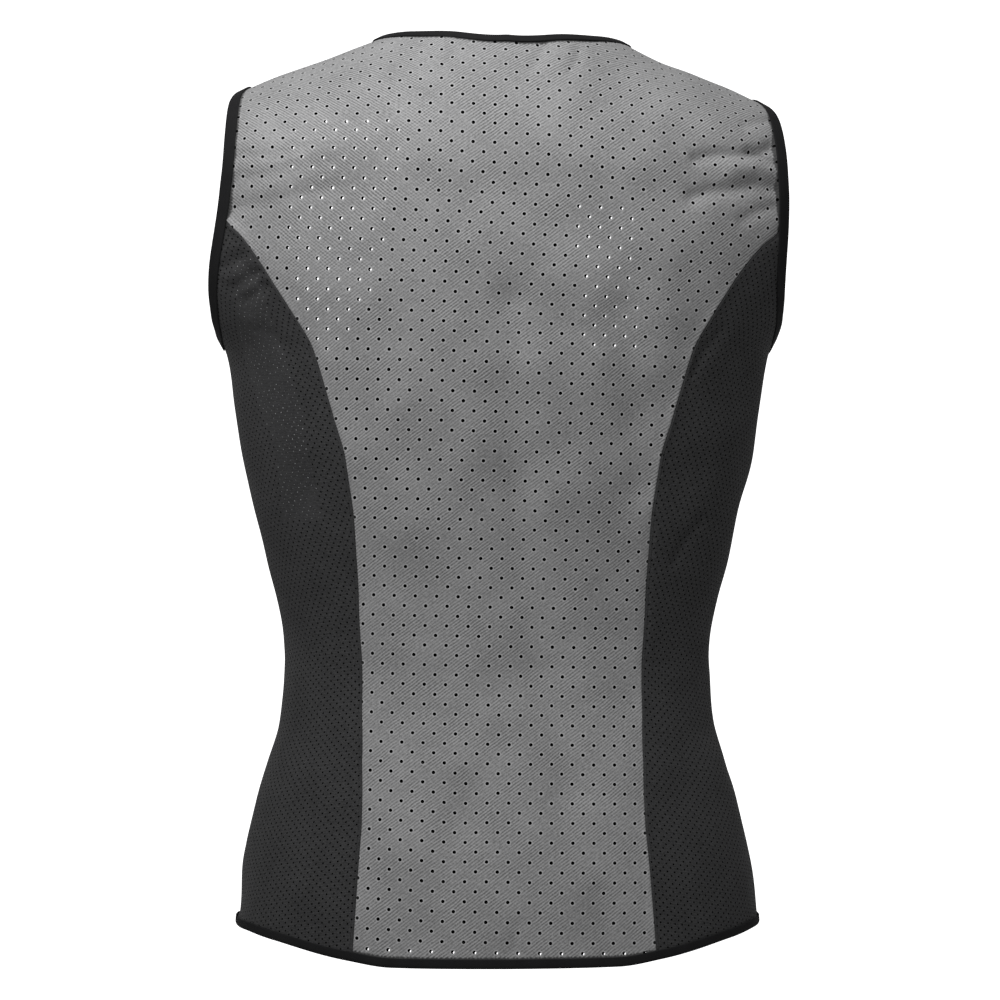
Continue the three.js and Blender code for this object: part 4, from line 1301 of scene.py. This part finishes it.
def knitted_mesh(sizes, colors):
    """Dark mesh: threads that slant between the holes, with their tops painted lighter as a painted
    highlight, and a fuzz.
    """
    n = Nodes("dark_mesh")
    place, u, v = n.uv()
    pitch = sizes.mesh_pitch
    sway = n.math("MULTIPLY", n.noise(place, 260.0), 0.0012)
    first = n.math("ADD", n.math("ADD", u, v), sway)
    second = n.math("SUBTRACT", n.math("SUBTRACT", u, v), sway)
    knit = n.math("MULTIPLY", n.stripes(first, pitch * 0.55), n.stripes(second, pitch * 0.55))
    fuzz = n.noise(place, 1700.0, 2.0, 0.7)
    soft = n.noise(place, 380.0, 3.0, 0.6)
    cloud = n.noise(place, 40.0, 3.0, 0.5)
    # The knit term is partly the mesh's pattern, partly a painted highlight on the threads' tops.
    shade = n.total((knit, 0.11), (fuzz, 0.55), (soft, 0.3), (cloud, 0.16))
    share = n.between(shade, 0.28, 0.76)
    color = n.mixed(share, rgb(colors.mesh, 0.45), rgb(colors.mesh, 1.6))
    n.bump(n.total((knit, 0.6), (fuzz, 1.4)), 0.5, 0.0003)
    return n.surface(color, 0.88, 0.08, 0.03)


def painted_light_floor(colors):
    """Painted light seen through the mesh: brighter and darker from hole to hole."""
    n = Nodes("painted_light_through_mesh")
    place = n.uv()[0]
    patch = n.between(n.noise(place, 75.0, 2.0), 0.25, 0.5)
    spark = n.between(n.noise(place, 480.0, 1.0), 0.3, 0.7)
    share = n.math("MULTIPLY", patch, spark)
    # Painted light: pale patches on the holes' floors, as light seen through the mesh.
    color = n.mixed(share, rgb(colors.mesh, 1.2), rgb(colors.mesh, 13.0))
    return n.surface(color, 0.9, 0.05)


def moulded(name, grey):
    """Moulded black plastic with fine scratches and a soft shine."""
    n = Nodes(name)
    place = n.uv()[0]
    marks = n.noise(place, 900.0, 4.0, 0.7)
    share = n.between(marks, 0.35, 0.75)
    n.bump(marks, 0.15, 0.0001)
    return n.surface(n.mixed(share, rgb((grey,) * 3), rgb((grey,) * 3, 2)), 0.42, 0.4)


def plain_weave(name, color, pitch):
    """Woven cloth or tape: two sets of threads under a fine fuzz."""
    n = Nodes(name)
    place, u, v = n.uv()
    weave = n.math("MULTIPLY", n.stripes(u, pitch), n.stripes(v, pitch))
    fuzz = n.noise(place, 1800.0, 2.0, 0.6)
    cloud = n.noise(place, 60.0, 3.0, 0.5)
    share = n.between(n.total((fuzz, 1.0), (cloud, 0.5), (weave, 0.12)), 0.4, 1.1)
    n.bump(n.math("ADD", weave, fuzz), 0.4, 0.0002)
    return n.surface(n.mixed(share, rgb(color, 0.75), rgb(color, 1.25)), 0.85, 0.06)


def settings(context):
    """The sidebar's sizes and colours, and the surface that the sizes make."""
    sizes = context.scene.vest_sizes
    return sizes, context.scene.vest_colors, Body(sizes)


def own(piece, node):
    """The piece rides the root body's empty and stands for its node, whose part it hides."""
    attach(piece, "root")
    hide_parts(node)


class VEST_OT_grey_panels(bpy.types.Operator):
    """Build the perforated back and the two fronts"""

    bl_idname = "vest.grey_panels"
    bl_label = "Grey Panels"

    def execute(self, context):
        sizes, colors, body = settings(context)
        edges = panel_edges(body, EDGE_PITCH)
        lining = plain_weave("lining", colors.lining, 0.0006)
        # The back's cloth carries the painted rim highlight at 0.85, the fronts' cloth none.
        back_cloth = [grey_cloth("grey_cloth", sizes, colors, 0.85), lining]
        front_cloth = [grey_cloth("grey_cloth_front", sizes, colors, 0.0), lining]
        pieces = {
            "back_panel": (edges["back"], 0.0, 28.0, 75.0),
            "front_panel_right": (edges["front"], 180.0, 152.0, 80.0),
            "front_panel_left": (mirrored_edges(edges["front"]), -180.0, -152.0, 80.0),
        }
        lined = np.zeros((0, 2))
        for node, (loop, middle, measured, spread) in pieces.items():
            flat = FlatCloth(body, middle, measured, spread)
            border = np.concatenate([flat.lay(points)[:-1] for points, _ in loop])
            centres = lattice(border, sizes.hole_across, sizes.hole_up, HOLE_TILT, HOLE_SHIFT)
            if node == "back_panel":
                holes = back_holes(body, flat, centres)
                outer = body.point(*flat.wear(centres[holes.lined_up]))
                lined = behind(body, outer, np.array(HALF_MOON) * sizes.hole)
            else:
                same_half = np.sign(lined[:, 0] - 180) == (-1 if middle > 0 else 1)
                near = lined - np.array([0.0 if middle > 0 else 360.0, 0.0])
                holes = front_holes(flat, centres, near[same_half])
            cloth = back_cloth if node == "back_panel" else front_cloth
            piece = panel(
                f"{node}_cloth", body, flat, loop, holes, 8, sizes.hole / 2, cloth, False
            )
            own(piece, node)
        return {"FINISHED"}


class VEST_OT_side_panels(bpy.types.Operator):
    """Build the two dark mesh side panels"""

    bl_idname = "vest.side_panels"
    bl_label = "Side Panels"

    def execute(self, context):
        sizes, colors, body = settings(context)
        edges = panel_edges(body, EDGE_PITCH)
        materials = [
            knitted_mesh(sizes, colors),
            plain_weave("mesh_lining", colors.lining, 0.0008),
            painted_light_floor(colors),
        ]
        pieces = {
            "side_panel_right": (edges["side"], 90.0),
            "side_panel_left": (mirrored_edges(edges["side"]), -90.0),
        }
        for node, (loop, middle) in pieces.items():
            flat = FlatCloth(body, middle, middle, 75.0)
            border = np.concatenate([flat.lay(points)[:-1] for points, _ in loop])
            pitch = sizes.mesh_pitch
            tilt = MESH_TILT if middle < 0 else -MESH_TILT
            diagonal = pitch * math.sqrt(2)
            holes = mesh_holes(body, flat, lattice(border, diagonal, diagonal, tilt))
            piece = panel(
                f"{node}_mesh", body, flat, loop, holes, 6, sizes.mesh_hole / 2, materials, True
            )
            own(piece, node)
        return {"FINISHED"}


def binding_section(body, band, sides):
    """Closed outline of a folded tape: over, past the cloth's edge, and rise, out from it."""
    s = body.sizes
    slot = s.wall / 2 + TAPE_CLEARANCE
    skin = slot + s.tape
    reach = band - s.slot_depth
    turn = np.linspace(np.pi / 2, -np.pi / 2, sides)
    bend = min(skin * 1.1, reach * 0.9)
    fold_over = reach - bend + bend * np.cos(turn)
    fold_rise = skin * np.sin(turn)
    lip = s.tape / 2
    over = np.concatenate([
        [-s.slot_depth - lip * 0.3, -s.slot_depth + lip], fold_over,
        [-s.slot_depth + lip, -s.slot_depth - lip * 0.3],
        [-s.slot_depth, TAPE_CLEARANCE, TAPE_CLEARANCE, -s.slot_depth],
    ])
    rise = np.concatenate([
        [skin - lip, skin], fold_rise,
        [-skin, -skin + lip],
        [-slot, -slot, slot, slot],
    ])
    return np.stack([over, rise], -1)


def sweep(name, path, over, rise, section, closed, materials):
    """A closed outline carried along a path: path + over * across + rise * out."""
    count, size = len(path), len(section)
    length_along = way_along(path)
    across, out = section[None, :, :1], section[None, :, 1:]
    points = path[:, None] + over[:, None] * across + rise[:, None] * out
    total = count if closed else count - 1
    k = np.arange(total)[:, None]
    i = np.arange(size)[None, :]
    nk = (k + 1) % count
    ni = (i + 1) % size
    faces = quads(k * size + i, k * size + ni, nk * size + ni, nk * size + i)
    all_points = points.reshape(-1, 3)
    a, b, c, d = (all_points[faces[:, corner]] for corner in range(4))
    volume = (np.cross(a, b) * c).sum() + (np.cross(a, c) * d).sum()
    face_sets = [faces]
    if not closed:
        start = np.arange(size)[None, ::-1]
        end = (count - 1) * size + np.arange(size)[None, :]
        face_sets += [start, end]
    if volume < 0:
        face_sets = [f[:, ::-1] for f in face_sets]
    outline = way_along(section)
    uv = np.stack(np.broadcast_arrays(length_along[:, None], outline[None, :]), -1).reshape(-1, 2)
    piece = mesh_object(name, all_points, face_sets, uv, materials)
    piece["cloth_area"] = float(length_along[-1] * outline[-1] / 2)
    piece["flat_size"] = [float(length_along[-1]), float(outline[-1] / 2)]
    return piece


def stations(body, points, closed):
    """Path, way over the edge and way out of points along a bound edge of the cloth.

    over is the way along the path crossed with the way out, so it leaves the cloth on the
    right of the path seen from outside.
    """
    path = body.point(points[:, 0], points[:, 1])
    if closed:
        path = path[:-1]
        points = points[:-1]
        along = np.roll(path, -1, 0) - np.roll(path, 1, 0)
    else:
        along = np.gradient(path, axis=0)
    along = unit(along)
    out = body.outward(points[:, 0], points[:, 1])
    over = unit(np.cross(along, out))
    rise = unit(np.cross(over, along))
    return path, over, rise


class VEST_OT_bindings(bpy.types.Operator):
    """Build the folded bindings of the armholes, the neck and the hem"""

    bl_idname = "vest.bindings"
    bl_label = "Bindings"

    def execute(self, context):
        sizes, colors, body = settings(context)
        tape = plain_weave("binding_tape", colors.tape, 0.0007)
        pitch = BINDING_PITCH
        arm = body.armhole(len(ARMHOLE["turn"]) - 1, 0, pitch)
        neck_right = body.neck_front(pitch)[::-1]
        neck = np.concatenate([neck_right[:-1], body.neck_back(pitch), mirrored(neck_right)[1:]])
        low = self.hem_path(body, pitch)
        runs = {
            "armhole_binding_right": (arm, sizes.armhole_band, True),
            "armhole_binding_left": (mirrored(arm), sizes.armhole_band, True),
            "neck_binding": (neck, sizes.neck_band, False),
            "hem_binding": (low, sizes.hem_band, False),
        }
        for node, (points, band, closed) in runs.items():
            path, over, rise = stations(body, points, closed)
            section = binding_section(body, band, 9)
            piece = sweep(f"{node}_tape", path, over, rise, section, closed, [tape])
            own(piece, node)
        return {"FINISHED"}

    @staticmethod
    def hem_path(body, pitch):
        """The hem from the left front's zip edge round the back to the right front's."""
        level = body.hem(180.0)
        end = float(180 - body.turn_at(body.zip_half(), level))
        return body.hem_edge(-end, end, pitch)


class VEST_OT_front_zip(bpy.types.Operator):
    """Build the closed front zip"""

    bl_idname = "vest.front_zip"
    bl_label = "Front Zip"

    def execute(self, context):
        sizes, colors, body = settings(context)
        cloth = plain_weave("zip_tape", colors.zip, 0.0006)
        low = float(body.hem(180.0))
        high = float(body.neck_front(0.002)[-1, 1])
        levels = np.linspace(low, high, 240)
        turns = np.full(240, 180.0)
        path = body.point(turns, levels)
        out = body.outward(turns, levels)
        path = np.concatenate([path[:1] - [[0, 0, ZIP_BELOW]], path, path[-1:] + [[0, 0, ZIP_ABOVE]]])
        out = np.concatenate([out[:1], out, out[-1:]])
        over = np.broadcast_to([1.0, 0.0, 0.0], path.shape)
        half, thick = sizes.zip_width / 2, ZIP_THICK
        section = np.array([[-half, -thick], [half, -thick], [half, thick], [-half, thick]])
        tape = sweep("front_zip_tape", path, over, out, section, False, [cloth])
        teeth = self.teeth(body, low, high)
        slider = self.slider(body, high)
        for piece in (tape, teeth, slider):
            own(piece, "front_zip")
        return {"FINISHED"}

    @staticmethod
    def placed(body, level, shape):
        """Points beside, above and out from the zip's middle, at levels."""
        level = np.asarray(level, float)
        middle = body.point(np.full(level.shape, 180.0), level)
        out = body.outward(np.full(level.shape, 180.0), level)
        up = unit(np.cross(out, [1.0, 0.0, 0.0]))
        points = middle[:, None] + shape[None, :, :1] * np.array([1.0, 0.0, 0.0])
        points = points + shape[None, :, 1:2] * up[:, None] + shape[None, :, 2:] * out[:, None]
        return points.reshape(-1, 3)

    def teeth(self, body, low, high):
        """Small blocks with a narrower top, in turn from the left and from the right."""
        pitch = 0.0014
        level = np.arange(low + 0.004, high - SLIDER_DROP - 0.008, pitch)
        long, tall, foot, top = 0.0013, 0.0005, 0.0006, 0.002
        corner = np.array([[-1, -1], [1, -1], [1, 1], [-1, 1]], float)
        rows = [
            np.column_stack([corner * [long, tall], np.full(4, foot)]),
            np.column_stack([corner * [long, tall], np.full(4, top - 0.0003)]),
            np.column_stack([corner * [long * 0.8, tall * 0.6], np.full(4, top)]),
        ]
        shape = np.concatenate(rows)
        points = self.placed(body, level, shape).reshape(-1, 12, 3)
        side = np.where(np.arange(len(level)) % 2, 0.0008, -0.0008)
        points[:, :, 0] += side[:, None]
        i = np.arange(4)
        j = (i + 1) % 4
        block = np.concatenate([
            quads(i, j, j + 4, i + 4),
            quads(i + 4, j + 4, j + 8, i + 8),
            [[3, 2, 1, 0], [8, 9, 10, 11]],
        ])
        faces = (block[None] + 12 * np.arange(len(level))[:, None, None]).reshape(-1, 4)
        uv = points.reshape(-1, 3)[:, ::2]
        return mesh_object(
            "front_zip_teeth", points.reshape(-1, 3), [faces], uv, [moulded("zip_teeth", 0.02)]
        )

    def slider(self, body, high):
        """A rounded block over the teeth: a rounded outline, narrower at the foot and the top."""
        sides = SLIDER_SIDES
        around = np.arange(sides) / sides * 2 * np.pi
        shape = np.abs(np.cos(around)) ** 0.5 * np.sign(np.cos(around))
        tall = np.abs(np.sin(around)) ** 0.6 * np.sign(np.sin(around))
        taper = 1 - 0.16 * (1 - tall) / 2
        outline = np.stack([SLIDER_WIDTH / 2 * shape * taper, SLIDER_LENGTH / 2 * tall], -1)
        steps = [
            (0.4, 0.001), (1.0, 0.001), (1.0, 0.0034), (0.96, 0.0039), (0.86, 0.0043), (0.4, 0.0043),
        ]
        rows = [np.column_stack([outline * share, np.full(sides, rise)]) for share, rise in steps]
        points = self.placed(body, [high - SLIDER_DROP - SLIDER_LENGTH / 2], np.concatenate(rows))
        i = np.arange(sides)
        j = (i + 1) % sides
        faces = [
            quads(i + low, j + low, j + low + sides, i + low + sides)
            for low in range(0, 5 * sides, sides)
        ]
        faces += [i[None, ::-1], i[None] + 5 * sides]
        return mesh_object(
            "front_zip_slider", points, faces, points[:, ::2], [moulded("zip_slider", 0.012)]
        )


class VEST_OT_studio(bpy.types.Operator):
    """Build the pale floor, the soft lights and the camera"""

    bl_idname = "vest.studio"
    bl_label = "Studio"

    def execute(self, context):
        scene = context.scene
        n = Nodes("studio_floor")
        n.shader.inputs["Base Color"].default_value = (0.8, 0.8, 0.8, 1.0)
        n.shader.inputs["Roughness"].default_value = 0.9
        x, y = np.meshgrid([-3.0, 3.0], [-3.0, 2.6])
        corners = np.stack([x.ravel(), y.ravel(), np.full(4, -1.1)], -1)
        floor = mesh_object(
            "studio_floor", corners, [np.array([[0, 1, 3, 2]])], corners[:, :2], [n.material]
        )
        world = scene.world or bpy.data.worlds.new("studio")
        scene.world = world
        world.use_nodes = True
        background = world.node_tree.nodes["Background"]
        background.inputs["Color"].default_value = (1.0, 1.0, 1.0, 1.0)
        background.inputs["Strength"].default_value = 0.36
        self.backdrop()
        self.light(scene, "studio_key", (-0.3, -0.71, 0.52), 0.55, 11.5)
        self.light(scene, "studio_top", (0.05, -0.25, 1.0), 0.8, 3.0)
        self.camera(scene)
        scene.view_settings.view_transform = "Standard"
        return {"FINISHED"}

    @staticmethod
    def backdrop():
        """A lit white wall far behind the vest, outside every camera's way."""
        n = Nodes("studio_backdrop")
        n.shader.inputs["Base Color"].default_value = (1.0, 1.0, 1.0, 1.0)
        n.shader.inputs["Emission Color"].default_value = (1.0, 1.0, 1.0, 1.0)
        n.shader.inputs["Emission Strength"].default_value = 1.0
        x, z = np.meshgrid([-2.0, 2.0], [-1.9, 1.4])
        corners = np.stack([x.ravel(), np.full(4, 4.0), z.ravel()], -1)
        wall = mesh_object(
            "studio_backdrop", corners, [np.array([[0, 1, 3, 2]])], corners[:, ::2], [n.material]
        )

    @staticmethod
    def light(scene, name, place, size, power):
        """A square soft light that looks at the middle of the vest."""
        data = bpy.data.lights.new(name, "AREA")
        data.size = size
        data.energy = power
        lamp = bpy.data.objects.new(name, data)
        lamp.location = place
        way = Vector(VEST_MIDDLE) - Vector(place)
        lamp.rotation_euler = way.to_track_quat("-Z", "Y").to_euler()
        lamp.visible_camera = False
        scene.collection.objects.link(lamp)

    @staticmethod
    def camera(scene):
        """The photograph's camera, which takes in the view's width at the vest's side line."""
        data = bpy.data.cameras.new("photo_camera")
        data.sensor_width = 36.0
        data.lens = data.sensor_width * CAMERA_DISTANCE / VIEW_WIDTH
        camera = bpy.data.objects.new("photo_camera", data)
        camera.location = camera_place()
        camera.rotation_euler = (math.pi / 2, 0.0, -math.radians(CAMERA_TURN))
        scene.collection.objects.link(camera)
        scene.camera = camera


class VEST_PT_sidebar(bpy.types.Panel):
    """The vest's sizes, colours and pieces"""

    bl_idname = "VEST_PT_sidebar"
    bl_label = "Cooling Vest"
    bl_space_type = "VIEW_3D"
    bl_region_type = "UI"
    bl_category = "Cooling Vest"

    def draw(self, context):
        layout = self.layout
        for group in (context.scene.vest_sizes, context.scene.vest_colors):
            box = layout.box()
            for name in group.bl_rna.properties.keys():
                if name not in {"rna_type", "name"}:
                    box.prop(group, name)
        for operator in OPERATORS:
            layout.operator(operator.bl_idname)


OPERATORS = (
    VEST_OT_grey_panels,
    VEST_OT_side_panels,
    VEST_OT_bindings,
    VEST_OT_front_zip,
    VEST_OT_studio,
)
CLASSES = (VestSizes, VestColors) + OPERATORS + (VEST_PT_sidebar,)


def register():
    """Registers the classes and the scene's two groups of settings."""
    for item in CLASSES:
        bpy.utils.register_class(item)
    bpy.types.Scene.vest_sizes = bpy.props.PointerProperty(type=VestSizes)
    bpy.types.Scene.vest_colors = bpy.props.PointerProperty(type=VestColors)


def unregister():
    """Takes them away again."""
    del bpy.types.Scene.vest_colors
    del bpy.types.Scene.vest_sizes
    for item in reversed(CLASSES):
        bpy.utils.unregister_class(item)


def main():
    """Builds every piece and the studio."""
    register()
    bpy.ops.vest.bindings()
    bpy.ops.vest.grey_panels()
    bpy.ops.vest.side_panels()
    bpy.ops.vest.front_zip()
    bpy.ops.vest.studio()


if __name__ == "__main__":
    main()
